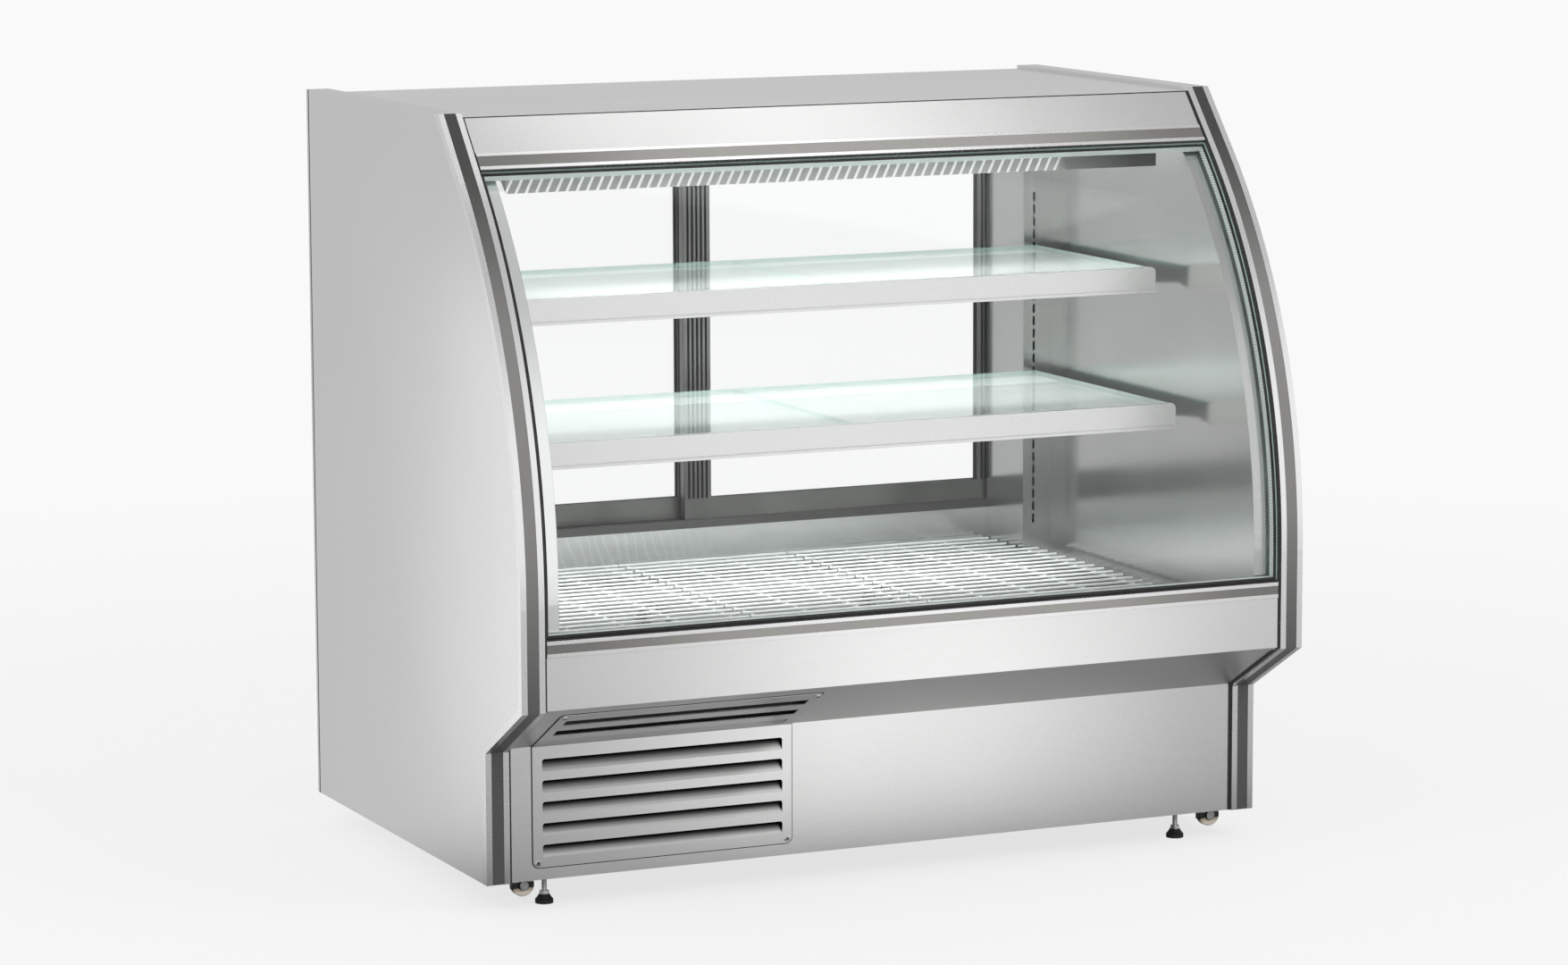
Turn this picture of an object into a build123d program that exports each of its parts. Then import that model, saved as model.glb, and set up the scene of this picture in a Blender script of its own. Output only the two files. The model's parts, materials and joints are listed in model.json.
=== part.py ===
from build123d import *
import math
import os

os.makedirs("parts", exist_ok=True)

# Overall sizes in mm. Every d is a distance from the rear face towards the front
# and every h a height above the lower edge of the end panels.
width = 1320
depth = 922
panel_height = 1153
floor_gap = 47
sheet = 1.2
fit = 0.3

# Front contour: canopy slope, bend, upright nose, underside and recessed base.
# A setback is a distance behind the nose.
canopy_setback = 319
slope_length = 131
bend_end_h = 444.2
nose_h = 288
knee_setback = 152
knee_h = 203

# End panels and their edge trim
end_thickness = 38
trim_depth = 14
lip = 9.5
groove_depth = 3
insert_depth = 0.6
liner_depth = 34
liner_gap = 2

# Body levels and insulation
top_inset = 6
ceiling_drop = 38
tank_rim_h = 330
tank_floor_h = 262
foam_floor_h = 215
wall_depth = 60
sill_h = 402
header_height = 75
skirt_height = 60
front_foam = 30
air_gap = 8
drain_d = 180
drain_radius = 12

# Canopy, glazing bars and glass, measured down the slope or as heights
fascia_inset = 4
fascia_length = 70
bar_inset = 2
bar_depth = 22
bar_length = 31
bar_lip = 6
bar_bottom_h = 370
bar_height = 25
gasket_width = 4
glass_inset = 6
glass_thickness = 4
glass_gap = 12
spacer_width = 5
spacer_rim = 1
glass_top_gap = 2.5
glass_bottom_gap = 2.5

# Lower front panels and louvred grille
panel_inset = 6
panel_seam = 14
grille_side = 77
grille_width = 430
grille_top_run = 34
grille_bottom_h = 19
grille_sheet = 1.5
grille_corner = 10
louvre_margin = 16
louvre_drop = 17
louvre_height = 19
louvre_count = 5
louvre_reach = 12
louvre_root = 0.6
slot_corner = 4
slot_rises = ((113, 92), (69, 46))
bend_louvre_rise = (24, 5)
bend_louvre_reach = 5
window_margin = 3
screw_rise = 7
screw_margin = 8
screw_shank = 2
screw_length = 6
screw_head = 4.5

# Rear door frame and the two sliding doors
frame_rear = 2
opening_side = 98
frame_rail = 14
track_width = 22
track_depth = 8
track_web = 4
lift_room = 6
door_thickness = 18
door_stile = 48
door_rail = 42
door_rebate = 8
door_glass = 12
door_overlap = 24
rib_depth = 1.5
rib_width = 4
pull_length = 120
pull_width = 20
pull_depth = 8

# Corner columns, slotted standards and shelves
column_width = 52
column_front = 190
standard_depth = 8
standard_sheet = 1.5
standard_step = 1.5
slot_low_h = 390
slot_end_gap = 20
slot_width = 3.6
slot_height = 15
slot_pitch = 21
slot_place = 19
bracket_thickness = 3
bracket_root = 62
bracket_tip = 22
upper_shelf_drop = 250
upper_shelf_setback = 302
lower_shelf_h = 653
lower_shelf_setback = 232
shelf_glass = 6
shelf_gap = 4
lip_height = 34
lip_sheet = 1.5
lip_cover = 12
lip_ledge = 26
lip_chamfer = 5
tag_height = 6
tag_depth = 3

# Light below the front of the ceiling
light_forward = 15
light_depth = 46
light_height = 84
light_end_gap = 30
light_sheet = 1.5
diffuser = 2

# Wire racks over the tank
rack_top_h = 352
rack_joint = 154
rack_end_gap = 28
rack_gap = 3
wire = 4.5
wire_pitch = 34.3
rack_rear_gap = 8
ledge_width = 18
weld = 0.2

# Base frame, rollers and levelling feet
tube = 25
tube_wall = 2
front_tube_setback = 65
rear_tube_d = 35
inner_tube_x = 180
roller_side = 67
roller_radius = 18
roller_width = 15
roller_h = -9
roller_gap = 5
roller_round = 3
hub_dish = 1.5
axle_radius = 4
axle_head = 3
axle_fit = 0.06
plate_thickness = 3
plate_width = 30
foot_side = 113
foot_radius = 14
foot_height = 14
foot_rim = 6
stem_radius = 4
stem_top_h = 30
nut_height = 5

# Condensing unit and its fan
plate_sheet = 3
condenser_setback = 80
condenser_depth = 50
condenser_side = 100
condenser_width = 380
condenser_top_gap = 15
condenser_rows = 5
end_plate = 2
bend_radius_small = 12
coil_tube = 4
shroud_depth = 60
fan_radius = 78
fan_clearance = 4
fan_hub = 20
fan_chord = 34
motor_radius = 32
motor_length = 48
arm_width = 16
shaft_radius = 4
compressor_x = 20
compressor_d = 380
shell_radius = 62
shell_spread = 22
shell_lower = 70
shell_upper = 62
shell_step = 3
shell_round = 26
shell_lift = 20
seam_height = 6
seam_flange = 4
mount_half = 100
mount_lift = 14
mount_sheet = 4
saddle_half = 32
rubber_x = 84
rubber_d = 46
rubber_radius = 11
rubber_proud = 4
terminal_depth = 30
terminal_half = 30
terminal_low = 45
terminal_height = 55
receiver_x = -120
receiver_d = 300
receiver_radius = 34
receiver_height = 122
pipe_radius = 4
pipe_bend = 12
pipe_level_gap = 12
riser_gap = 34
riser_d = 200
riser_top_h = 312

# Evaporator in the bottom of the tank, with two fans
evap_side = 230
evap_rear = 110
evap_depth = 180
evap_height = 60
evap_lift = 4
evap_fan_x = 200
evap_fan_radius = 31
evap_hub = 9
evap_chord = 12
evap_motor_radius = 14
evap_shaft = 2.5
cowl_gap = 40

# Rear cover, controls and condensate pan
cover_d = 18
cover_bottom_h = 14
cover_top_gap = 15
vent_width = 240
vent_height = 8
vent_pitch = 24
vent_rows = 5
vent_low_h = 40
vent_shifts = (40, 320)
box_side = 180
box_width = 210
box_low_h = 88
box_high_h = 192
box_front_d = 92
box_sheet = 2
knob_shift = 60
knob_h = 150
knob_radius = 16
knob_height = 12
knob_shaft = 3
switch_shift = 155
switch_h = 150
switch_width = 18
switch_height = 24
switch_proud = 5
switch_body = 6
switch_tilt = 8
switch_gap = 0.5
gland_shift = 30
gland_h = 108
gland_radius = 9
pan_left = -90
pan_right = 130
pan_rear = 100
pan_front = 262
pan_height = 42
pan_wall = 2

half = width / 2
inner_half = half - end_thickness
liner_half = inner_half - liner_depth
glass_half = inner_half - gasket_width
rear_y = depth / 2

# The bend is an arc that meets the slope and the upright nose without a corner
top_depth = depth - canopy_setback
knee_depth = depth - knee_setback
fall = panel_height - bend_end_h
slope = 2 * math.atan(canopy_setback / (slope_length + fall))
slope_run = (math.sin(slope), -math.cos(slope))
slope_in = (-math.cos(slope), -math.sin(slope))
bend_radius = (fall - slope_length * math.cos(slope)) / math.sin(slope)
under_length = math.hypot(depth - knee_depth, nose_h - knee_h)
under_run = ((knee_depth - depth) / under_length, (knee_h - nose_h) / under_length)
under_in = (under_run[1], -under_run[0])
mitre = math.tan(math.acos(-under_run[1]) / 2)

bar_top_run = fascia_inset + fascia_length
bar_end_run = bar_top_run + bar_length
bar_inner = bar_inset + bar_depth
bar_top_h = bar_bottom_h + bar_height
glass_top_run = bar_end_run + glass_top_gap
glass_bottom_h = bar_top_h + glass_bottom_gap
glass_back = glass_inset + 2 * glass_thickness + glass_gap
liner_inset = glass_back + liner_gap
top_h = panel_height - top_inset
ceiling_h = panel_height - ceiling_drop
wall_top_h = ceiling_h - sheet
header_h = ceiling_h - header_height
skirt_h = header_h - skirt_height
opening_half = half - opening_side
tub_front = depth - front_foam
rack_floor_h = rack_top_h - 2 * wire + weld - fit


def yz(point):
    """Point of a section, from distance to the rear and height, in Y and Z"""
    return (rear_y - point[0], floor_gap + point[1])


def on_slope(inset, run):
    return (top_depth + run * slope_run[0] + inset * slope_in[0],
            panel_height + run * slope_run[1] + inset * slope_in[1])


def on_bend(inset, angle):
    centre = on_slope(bend_radius, slope_length)
    radius = bend_radius - inset
    return (centre[0] + radius * math.cos(angle), centre[1] + radius * math.sin(angle))


def on_nose(inset, height):
    return (depth - inset, height)


def on_under(inset, run):
    return (depth + run * under_run[0] + inset * under_in[0],
            nose_h + run * under_run[1] + inset * under_in[1])


def on_base(inset, height):
    return (knee_depth - inset, height)


def slope_run_at(inset, height):
    """Run down the slope, at this inset, that has the given height"""
    return (height - panel_height - inset * slope_in[1]) / slope_run[1]


def under_run_at(inset, height):
    return (height - nose_h - inset * under_in[1]) / under_run[1]


def lines(*points):
    return [Line(yz(a), yz(b)) for a, b in zip(points, points[1:])]


def glass_line(inset, run, height):
    """Front contour from a run down the slope to a height on the nose"""
    arc = ThreePointArc(yz(on_bend(inset, slope)), yz(on_bend(inset, slope / 2)), yz(on_bend(inset, 0)))
    return (lines(on_slope(inset, run), on_bend(inset, slope)) + [arc]
            + lines(on_bend(inset, 0), on_nose(inset, height)))


def nose_line(inset):
    return lines(on_nose(inset, bar_bottom_h), on_under(inset, inset * mitre),
                 on_under(inset, panel_seam - sheet))


def under_line(inset, run, height):
    """Front contour from a run along the underside to a height on the base"""
    return lines(on_under(inset, run), on_under(inset, under_length + inset * mitre), on_base(inset, height))


def front_line(inset, top, bottom):
    """Whole front contour between two heights"""
    corner = on_under(inset, inset * mitre)
    return (glass_line(inset, slope_run_at(inset, top), corner[1])
            + under_line(inset, inset * mitre, bottom))


def extrude_section(edges, x0, x1):
    return extrude(Plane.YZ.offset(x0) * make_face(Curve() + edges), x1 - x0)


def band(make_line, outer, inner, x0, x1, *ends):
    """Sheet between two insets of the front contour"""
    first = make_line(outer, *ends)
    second = make_line(inner, *ends)
    caps = [Line(first[0] @ 0, second[0] @ 0), Line(first[-1] @ 1, second[-1] @ 1)]
    return extrude_section(first + second + caps, x0, x1)


def prism(points, x0, x1):
    return extrude_section(lines(*points, points[0]), x0, x1)


def slope_band(outer, inner, run0, run1, x0, x1):
    return prism([on_slope(outer, run0), on_slope(outer, run1), on_slope(inner, run1), on_slope(inner, run0)],
                 x0, x1)


def nose_band(outer, inner, h0, h1, x0, x1):
    return prism([on_nose(outer, h0), on_nose(outer, h1), on_nose(inner, h1), on_nose(inner, h0)], x0, x1)


def block(x0, x1, d0, d1, h0, h1):
    centre = Pos((x0 + x1) / 2, rear_y - (d0 + d1) / 2, floor_gap + (h0 + h1) / 2)
    return centre * Box(abs(x1 - x0), abs(d1 - d0), abs(h1 - h0))


def place(x, d, h):
    return Pos(x, rear_y - d, floor_gap + h)


def rod_x(x0, x1, d, h, radius):
    return place((x0 + x1) / 2, d, h) * Rot(0, 90, 0) * Cylinder(radius, abs(x1 - x0))


def rod_y(x, d0, d1, h, radius):
    return place(x, (d0 + d1) / 2, h) * Rot(90, 0, 0) * Cylinder(radius, abs(d1 - d0))


def rod_z(x, d, h0, h1, radius):
    return place(x, d, (h0 + h1) / 2) * Cylinder(radius, abs(h1 - h0))


def mirrored(shape):
    return mirror(shape, about=Plane.YZ)


def pair(shape):
    return [shape, mirrored(shape)]


def save(name, *pieces):
    """Write one node, as one solid or as a group of separate solids"""
    parts = []
    for piece in pieces:
        parts.extend(piece if isinstance(piece, list) else [piece])
    bodies = [body for part in parts for body in part.solids()]
    shape = bodies[0] if len(bodies) == 1 else Compound(children=bodies)
    shape.label = name
    export_step(shape, f"parts/{name}.step")


# End panels: a skin tray with its cover, an inner liner tray, foam and edge trim

def end_section(margin):
    """Outline of an end panel behind its edge trim, shrunk by a margin"""
    inset = trim_depth + margin
    top = panel_height - margin
    start = on_slope(inset, slope_run_at(inset, top))
    return front_line(inset, top, margin) + lines(on_base(inset, margin), (margin, margin), (margin, top), start)


def end_skin():
    outer = extrude_section(end_section(0), inner_half, half)
    pocket = extrude_section(end_section(sheet), inner_half, half - sheet)
    cover = extrude_section(end_section(sheet), inner_half, inner_half + sheet)
    return [outer - pocket, cover]


def end_foam():
    return extrude_section(end_section(sheet), inner_half + sheet, half - sheet)


def liner_section(margin):
    inset = liner_inset + margin
    top = wall_top_h - margin
    low = tank_rim_h + margin
    rear = wall_depth + margin
    start = on_slope(inset, slope_run_at(inset, top))
    return glass_line(inset, slope_run_at(inset, top), low) + lines(on_nose(inset, low), (rear, low),
                                                                    (rear, top), start)


def end_liner():
    outer = extrude_section(liner_section(0), liner_half, inner_half)
    return outer - extrude_section(liner_section(sheet), liner_half + sheet, inner_half)


def liner_foam():
    return extrude_section(liner_section(sheet), liner_half + sheet, inner_half)


def edge_trim():
    body = band(front_line, 0, trim_depth, inner_half, half, panel_height, 0)
    return body - band(front_line, 0, groove_depth, inner_half + lip, half - lip, panel_height, 0)


def trim_insert():
    return band(front_line, insert_depth, groove_depth, inner_half + lip, half - lip, panel_height, 0)


# Canopy: top tray, ceiling sheet, fascia and the glazing bars

def canopy_section(margin, low):
    """Outline of the space behind the fascia and above a level, shrunk by a margin"""
    inset = fascia_inset + sheet + margin
    top = top_h - margin
    return [(margin, low), (margin, top), on_slope(inset, slope_run_at(inset, top)),
            on_slope(inset, slope_run_at(inset, low))]


def top_panel():
    """Folded top tray and the flat ceiling sheet below it"""
    tray = prism(canopy_section(0, ceiling_h), -inner_half, inner_half)
    tray = tray - prism(canopy_section(sheet, ceiling_h), sheet - inner_half, inner_half - sheet)
    front = fascia_inset + 2 * sheet
    ceiling_front = on_slope(front, slope_run_at(front, wall_top_h))[0]
    return [tray, block(-inner_half, inner_half, 0, ceiling_front, wall_top_h, ceiling_h)]


def top_foam():
    return prism(canopy_section(sheet, ceiling_h), sheet - inner_half, inner_half - sheet)


def canopy_fascia():
    """Slanted fascia with a stiffening return behind its lower edge"""
    start = slope_run_at(fascia_inset, top_h)
    face = slope_band(fascia_inset, fascia_inset + sheet, start, bar_top_run, -glass_half, glass_half)
    return face + slope_band(fascia_inset, bar_inner, bar_top_run - sheet, bar_top_run, -glass_half, glass_half)


def glazing_bar(make_band, start, length):
    """Extruded bar with a groove for its dark insert"""
    body = make_band(bar_inset, bar_inner, start, start + length, -glass_half, glass_half)
    return body - make_band(bar_inset, bar_inset + groove_depth, start + bar_lip, start + length - bar_lip,
                            -glass_half, glass_half)


def bar_insert(make_band, start, length):
    return make_band(bar_inset + insert_depth, bar_inset + groove_depth, start + bar_lip,
                     start + length - bar_lip, -glass_half, glass_half)


def nose_panel():
    return band(nose_line, fascia_inset, fascia_inset + sheet, -glass_half, glass_half)


# Curved double glass, its perforated spacer and the black gaskets

def glass_pane(inset):
    edge = glass_half - fit
    return band(glass_line, inset, inset + glass_thickness, -edge, edge, glass_top_run, glass_bottom_h)


def glass_spacer():
    """Bar that holds the two panes apart all round"""
    outer = glass_inset + glass_thickness
    inner = outer + glass_gap
    edge = glass_half - fit
    whole = band(glass_line, outer, inner, -edge, edge, glass_top_run, glass_bottom_h)
    return whole - band(glass_line, outer - spacer_rim, inner + spacer_rim, spacer_width - edge,
                        edge - spacer_width, glass_top_run + spacer_width, glass_bottom_h + spacer_width)


def glass_gaskets():
    """Side strips down the whole front, and the strips above and below the glass"""
    side = band(front_line, fascia_inset, glass_back, glass_half, inner_half, top_h, 0)
    side = side - prism(canopy_section(0, wall_top_h), glass_half, inner_half)
    top = slope_band(glass_inset + insert_depth, glass_back, bar_end_run, glass_top_run, -glass_half, glass_half)
    bottom = nose_band(glass_inset, glass_back, bar_top_h, glass_bottom_h, -glass_half, glass_half)
    return pair(side) + [top, bottom]


# Grille with pressed louvres over the lower front panel

grille_left = grille_side - half
grille_right = grille_left + grille_width
slots_left = grille_left + louvre_margin
slots_right = grille_right - louvre_margin
grille_face = panel_inset - grille_sheet
louvre_low_h = grille_bottom_h + louvre_margin
louvre_high_h = knee_h - louvre_drop - louvre_height
slot_runs = [[under_length - rise for rise in rises] for rises in slot_rises]
bend_louvre_run = [under_length - rise for rise in bend_louvre_rise]


def louvre_feet():
    """Height of each louvre's foot, evenly spaced"""
    pitch = (louvre_high_h - louvre_low_h) / (louvre_count - 1)
    return [louvre_low_h + pitch * index for index in range(louvre_count)]


def louvre_slots():
    """Cuts through the grille sheet, the upright ones with rounded upper corners"""
    cuts = []
    for foot_h in louvre_feet():
        cut = block(slots_left, slots_right, knee_depth - panel_inset - grille_sheet, knee_depth,
                    foot_h, foot_h + louvre_height)
        cuts.append(fillet(cut.edges().filter_by(Axis.Y).group_by(Axis.Z)[-1], slot_corner))
    for first, last in slot_runs + [bend_louvre_run]:
        cuts.append(prism([on_under(0, first), on_under(0, last), on_under(panel_inset + grille_sheet, last),
                           on_under(panel_inset + grille_sheet, first)], slots_left, slots_right))
    return cuts


def louvre_blades():
    """Pressed blades, in the sheet at their foot and leaning inwards to their tip"""
    blades = []
    lean = louvre_reach / louvre_height
    for foot_h in louvre_feet():
        tip_h = foot_h + louvre_height - grille_sheet
        blades.append(prism([on_base(grille_face, foot_h - louvre_root), on_base(grille_face, foot_h),
                             on_base(grille_face + louvre_reach, tip_h), on_base(panel_inset + louvre_reach, tip_h),
                             on_base(panel_inset, foot_h + lean), on_base(panel_inset, foot_h - louvre_root)],
                            slots_left, slots_right))
    tip, foot_run = bend_louvre_run
    tip = tip + grille_sheet
    blades.append(prism([on_under(grille_face, foot_run + louvre_root), on_under(grille_face, foot_run),
                         on_under(grille_face + bend_louvre_reach, tip),
                         on_under(panel_inset + bend_louvre_reach, tip),
                         on_under(panel_inset, foot_run - lean), on_under(panel_inset, foot_run + louvre_root)],
                        slots_left, slots_right))
    return blades


def at_screws(shape):
    """Copies of a shape at each grille screw, its Z axis pointing out of the sheet"""
    tilt = math.degrees(math.atan2(under_in[0], under_in[1]))
    made = []
    for x in (grille_left + screw_margin, grille_right - screw_margin):
        made.append(place(x, *on_base(grille_face, grille_bottom_h + screw_rise)) * Rot(90, 0, 0) * shape)
        run = grille_top_run + grille_corner + louvre_root
        made.append(place(x, *on_under(grille_face, run)) * Rot(180 + tilt, 0, 0) * shape)
    return made


def screw_hole():
    return Cylinder(screw_shank + fit / 3, 4 * screw_length)


def grille_screw():
    head = Pos(0, 0, 1) * Cylinder(screw_head, 2)
    head = fillet(head.edges().group_by(Axis.Z)[-1], 0.8)
    slot = Pos(0, 0, 2) * Box(2 * screw_head, 1, 1)
    return head + Pos(0, 0, -screw_length / 2) * Cylinder(screw_shank, screw_length) - slot


def front_grille():
    body = band(under_line, grille_face, panel_inset, grille_left, grille_right, grille_top_run, grille_bottom_h)
    corners = [edge for edge in body.edges() if abs(edge.length - grille_sheet) < sheet / 100]
    body = fillet(corners, grille_corner)
    return body - louvre_slots() + louvre_blades() - at_screws(screw_hole())


def lower_front_panel():
    """One bent sheet below the nose with a window behind the grille"""
    body = band(under_line, panel_inset, panel_inset + sheet, -glass_half, glass_half, panel_seam, 0)
    window = band(under_line, panel_inset - sheet, panel_inset + 2 * sheet, slots_left - window_margin,
                  slots_right + window_margin, slot_runs[0][0], louvre_low_h)
    return body - window - at_screws(screw_hole())


# Tank with its ledges and insulation

def tank_section(margin):
    """Outline of the tub, shrunk by a margin"""
    inset = front_foam + panel_inset + margin
    front = tub_front - margin
    slant = on_under(inset, 0)
    return [(wall_depth + margin, tank_rim_h), (wall_depth + margin, tank_floor_h + margin),
            on_under(inset, under_run_at(inset, tank_floor_h + margin)),
            on_under(inset, (slant[0] - front) / -under_run[0]), (front, tank_rim_h)]


def floor_holes():
    """Drain and pipe holes through the tank floor and its foam"""
    return [rod_z(0, drain_d, foam_floor_h - sheet, tank_floor_h + 2 * sheet, drain_radius),
            rod_z(riser_x, riser_d, foam_floor_h - sheet, tank_floor_h + 2 * sheet, pipe_radius + 1)]


def tank_liner():
    """Tub with its rim flanges, front upstand and rack ledges"""
    edge = liner_half + sheet
    low = tank_rim_h - sheet
    ledge_h = rack_floor_h - sheet
    rear = wall_depth
    side = liner_half - rack_end_gap - ledge_width
    pieces = pair(block(liner_half, inner_half, rear, tub_front, low, tank_rim_h))
    pieces += [block(-liner_half, liner_half, tub_front - sheet, tub_front, low, bar_top_h)]
    pieces += [block(-liner_half, liner_half, tub_front, depth - bar_inner, bar_top_h - sheet, bar_top_h)]
    pieces += [block(-liner_half, liner_half, tub_front - ledge_width, tub_front, ledge_h, rack_floor_h)]
    pieces += [block(-liner_half, liner_half, rear, rear + ledge_width, ledge_h, rack_floor_h)]
    pieces += [block(-liner_half, liner_half, rear, rear + sheet, low, rack_floor_h)]
    pieces += pair(block(side, liner_half, rear, tub_front, ledge_h, rack_floor_h))
    pieces += pair(block(liner_half - sheet, liner_half, rear, tub_front, low, rack_floor_h))
    tub = prism(tank_section(0), -edge, edge) - prism(tank_section(sheet), -liner_half, liner_half)
    return tub + pieces - floor_holes()


def tank_foam():
    """Insulation round the tub, with an air channel behind the slanted front panel"""
    skin = fascia_inset + sheet
    step = panel_inset + sheet + air_gap
    shelf = panel_seam + air_gap
    outline = [(wall_depth, foam_floor_h), on_under(step, under_run_at(step, foam_floor_h)),
               on_under(step, shelf), on_under(panel_inset + sheet, shelf),
               on_under(panel_inset + sheet, panel_seam - sheet), on_under(skin, panel_seam - sheet),
               on_under(skin, skin * mitre), on_nose(skin, bar_bottom_h), on_nose(bar_inner, bar_bottom_h),
               on_nose(bar_inner, bar_top_h - sheet), (tub_front, bar_top_h - sheet), (tub_front, tank_rim_h),
               (wall_depth, tank_rim_h)]
    body = prism(outline, -inner_half, inner_half)
    body = body - prism(tank_section(0), -liner_half - sheet, liner_half + sheet)
    flanges = block(-inner_half, inner_half, wall_depth, tub_front, tank_rim_h - sheet, tank_rim_h + sheet)
    liners = pair(block(liner_half, inner_half, tub_front, depth, tank_rim_h, bar_top_h))
    gaskets = pair(band(front_line, 0, glass_back, glass_half, inner_half, bar_top_h, 0))
    return body - flanges - liners - gaskets - floor_holes()


# Rear wall, header and corner columns

def channel_wall(h0, h1):
    """Folded wall section that is open along its top edge, and the foam in it"""
    outer = block(-inner_half, inner_half, 0, wall_depth, h0, h1)
    core = block(-inner_half, inner_half, sheet, wall_depth - sheet, h0 + sheet, h1)
    return outer - core, core


def rear_header():
    """Section above the doors, with a skirt that hangs in front of their top rail"""
    body, core = channel_wall(header_h, wall_top_h)
    return body + block(-inner_half, inner_half, wall_depth - sheet, wall_depth, skirt_h, header_h), core


column_left = liner_half - column_width
standard_front = column_front + standard_depth
slot_x = column_left + slot_place


def corner_column():
    """Angle that joins the slotted standard to the rear wall"""
    side = block(column_left, column_left + sheet, wall_depth, column_front, rack_floor_h, wall_top_h)
    return side + block(column_left, liner_half, column_front - sheet, column_front, rack_floor_h, wall_top_h)


def slotted_standard():
    """Stepped channel with a column of bracket slots"""
    right = liner_half
    body = block(column_left, right, column_front, standard_front, rack_floor_h, wall_top_h)
    step = block(column_left, slot_x - slot_width / 2, standard_front - standard_step, standard_front,
                 rack_floor_h, wall_top_h)
    deep = block(slot_x, right - standard_sheet, column_front, standard_front - standard_sheet,
                 rack_floor_h, wall_top_h)
    shallow = block(column_left + standard_sheet, slot_x, column_front,
                    standard_front - standard_step - standard_sheet, rack_floor_h, wall_top_h)
    slots = [block(slot_x - slot_width / 2, slot_x + slot_width / 2, column_front, standard_front,
                   middle - slot_height / 2, middle + slot_height / 2) for middle in slot_middles()]
    return body - step - deep - shallow - slots


def slot_middles():
    count = int((skirt_h - slot_end_gap - slot_low_h) // slot_pitch)
    return [slot_low_h + slot_pitch * (index + 0.5) for index in range(count)]


# Rear door frame and sliding doors

tracks = (frame_rear + track_web, frame_rear + 2 * track_web + track_width)
frame_front = wall_depth - sheet
track_low_h = sill_h + frame_rail - track_depth
track_top_h = header_h - frame_rail + track_depth
door_low_h = track_low_h + fit
door_high_h = track_top_h - lift_room
door_half = opening_half + track_depth
door_edge = door_half - fit


def door_frame():
    """Dark frame with two running tracks, one behind the other"""
    body = block(-inner_half, inner_half, frame_rear, frame_front, sill_h, header_h)
    body = body - block(-opening_half, opening_half, frame_rear, frame_front, sill_h + frame_rail,
                        header_h - frame_rail)
    return body - [block(-door_half, door_half, d, d + track_width, track_low_h, track_top_h) for d in tracks]


def door_ribs(x0, x1, face, outward):
    """Shallow grooves along a stile"""
    count = int((x1 - x0) // (2 * rib_width)) - 1
    return [block(x0 + rib_width * (2 * index + 1.5), x0 + rib_width * (2 * index + 2.5),
                  face - rib_depth * outward, face, door_low_h + door_rail, door_high_h - door_rail)
            for index in range(count)]


def door(track):
    """Frame and double glass of the door that closes the left half, in one track"""
    rear = track + (track_width - door_thickness) / 2
    front = rear + door_thickness
    left, right = -door_edge, door_overlap
    sight = (left + door_stile, right - door_stile)
    glass_h = (door_low_h + door_rail, door_high_h - door_rail)
    body = block(left, right, rear, front, door_low_h, door_high_h) - block(*sight, rear, front, *glass_h)
    skin = (door_thickness - door_glass) / 2
    pane = block(sight[0] - door_rebate, sight[1] + door_rebate, rear + skin, front - skin,
                 glass_h[0] - door_rebate, glass_h[1] + door_rebate)
    middle = (door_low_h + door_high_h) / 2
    pull = block(left + door_stile / 2 - pull_width / 2, left + door_stile / 2 + pull_width / 2, rear,
                 rear + pull_depth, middle - pull_length / 2, middle + pull_length / 2)
    pull = fillet(pull.edges().filter_by(Axis.Y), pull_width / 2 - sheet)
    ribs = door_ribs(sight[1], right, front, 1) + door_ribs(left, sight[0], front, 1)
    return body - pane - pull - ribs, pane


# Shelves on cantilever brackets

shelves = ((ceiling_h - upper_shelf_drop, depth - upper_shelf_setback),
           (lower_shelf_h, depth - lower_shelf_setback))
shelf_rear = standard_front + shelf_gap
shelf_half = slot_x + bracket_thickness / 2 + lip_sheet
light_front = top_depth + light_forward


def shelf_bracket(level, front):
    """Cantilever blade with two hooks in the slots of a standard"""
    top = level - shelf_glass
    tip = front - lip_ledge - fit
    left, right = slot_x - bracket_thickness / 2, slot_x + bracket_thickness / 2
    blade = prism([(standard_front, top), (tip, top), (tip, top - bracket_tip),
                   (standard_front, top - bracket_root)], left, right)
    used = [middle for middle in slot_middles() if top - bracket_root < middle < top - slot_height][-2:]
    return blade + [block(left, right, column_front + fit, standard_front, middle - slot_height / 2 + fit,
                          middle + slot_height / 4) for middle in used]


def shelf_panes(level, front):
    """Two panes that meet at the middle"""
    return pair(block(fit / 2, shelf_half - lip_sheet, shelf_rear, front - lip_sheet, level - shelf_glass, level))


def shelf_lip(level, front):
    """Front lip that wraps the glass edge and carries a ticket channel"""
    top = level + lip_sheet
    low = top - lip_height
    under = level - shelf_glass
    face = block(-shelf_half, shelf_half, front - lip_sheet, front, low - tag_height, top)
    face = chamfer(face.edges().filter_by(Axis.Y).group_by(Axis.Z)[-1], lip_chamfer)
    cover = block(lip_chamfer - shelf_half, shelf_half - lip_chamfer, front - lip_cover, front, level, top)
    ledge = block(-shelf_half, shelf_half, front - lip_ledge, front, under - lip_sheet, under)
    end = block(shelf_half - lip_sheet, shelf_half, front - lip_ledge, front, low, level - lip_chamfer)
    tag = block(-shelf_half, shelf_half, front, front + tag_depth, low - tag_height, low - tag_height + 1)
    tag_face = block(-shelf_half, shelf_half, front + tag_depth - 1, front + tag_depth, low - tag_height,
                     low - tag_height / 4)
    return face + cover + ledge + pair(end) + tag + tag_face


def light_low_h(d):
    """Lower edge of the light channel, which rises from its front to half its height at the rear"""
    return wall_top_h - light_height * (1 + (d - light_front) / light_depth / 2)


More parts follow.
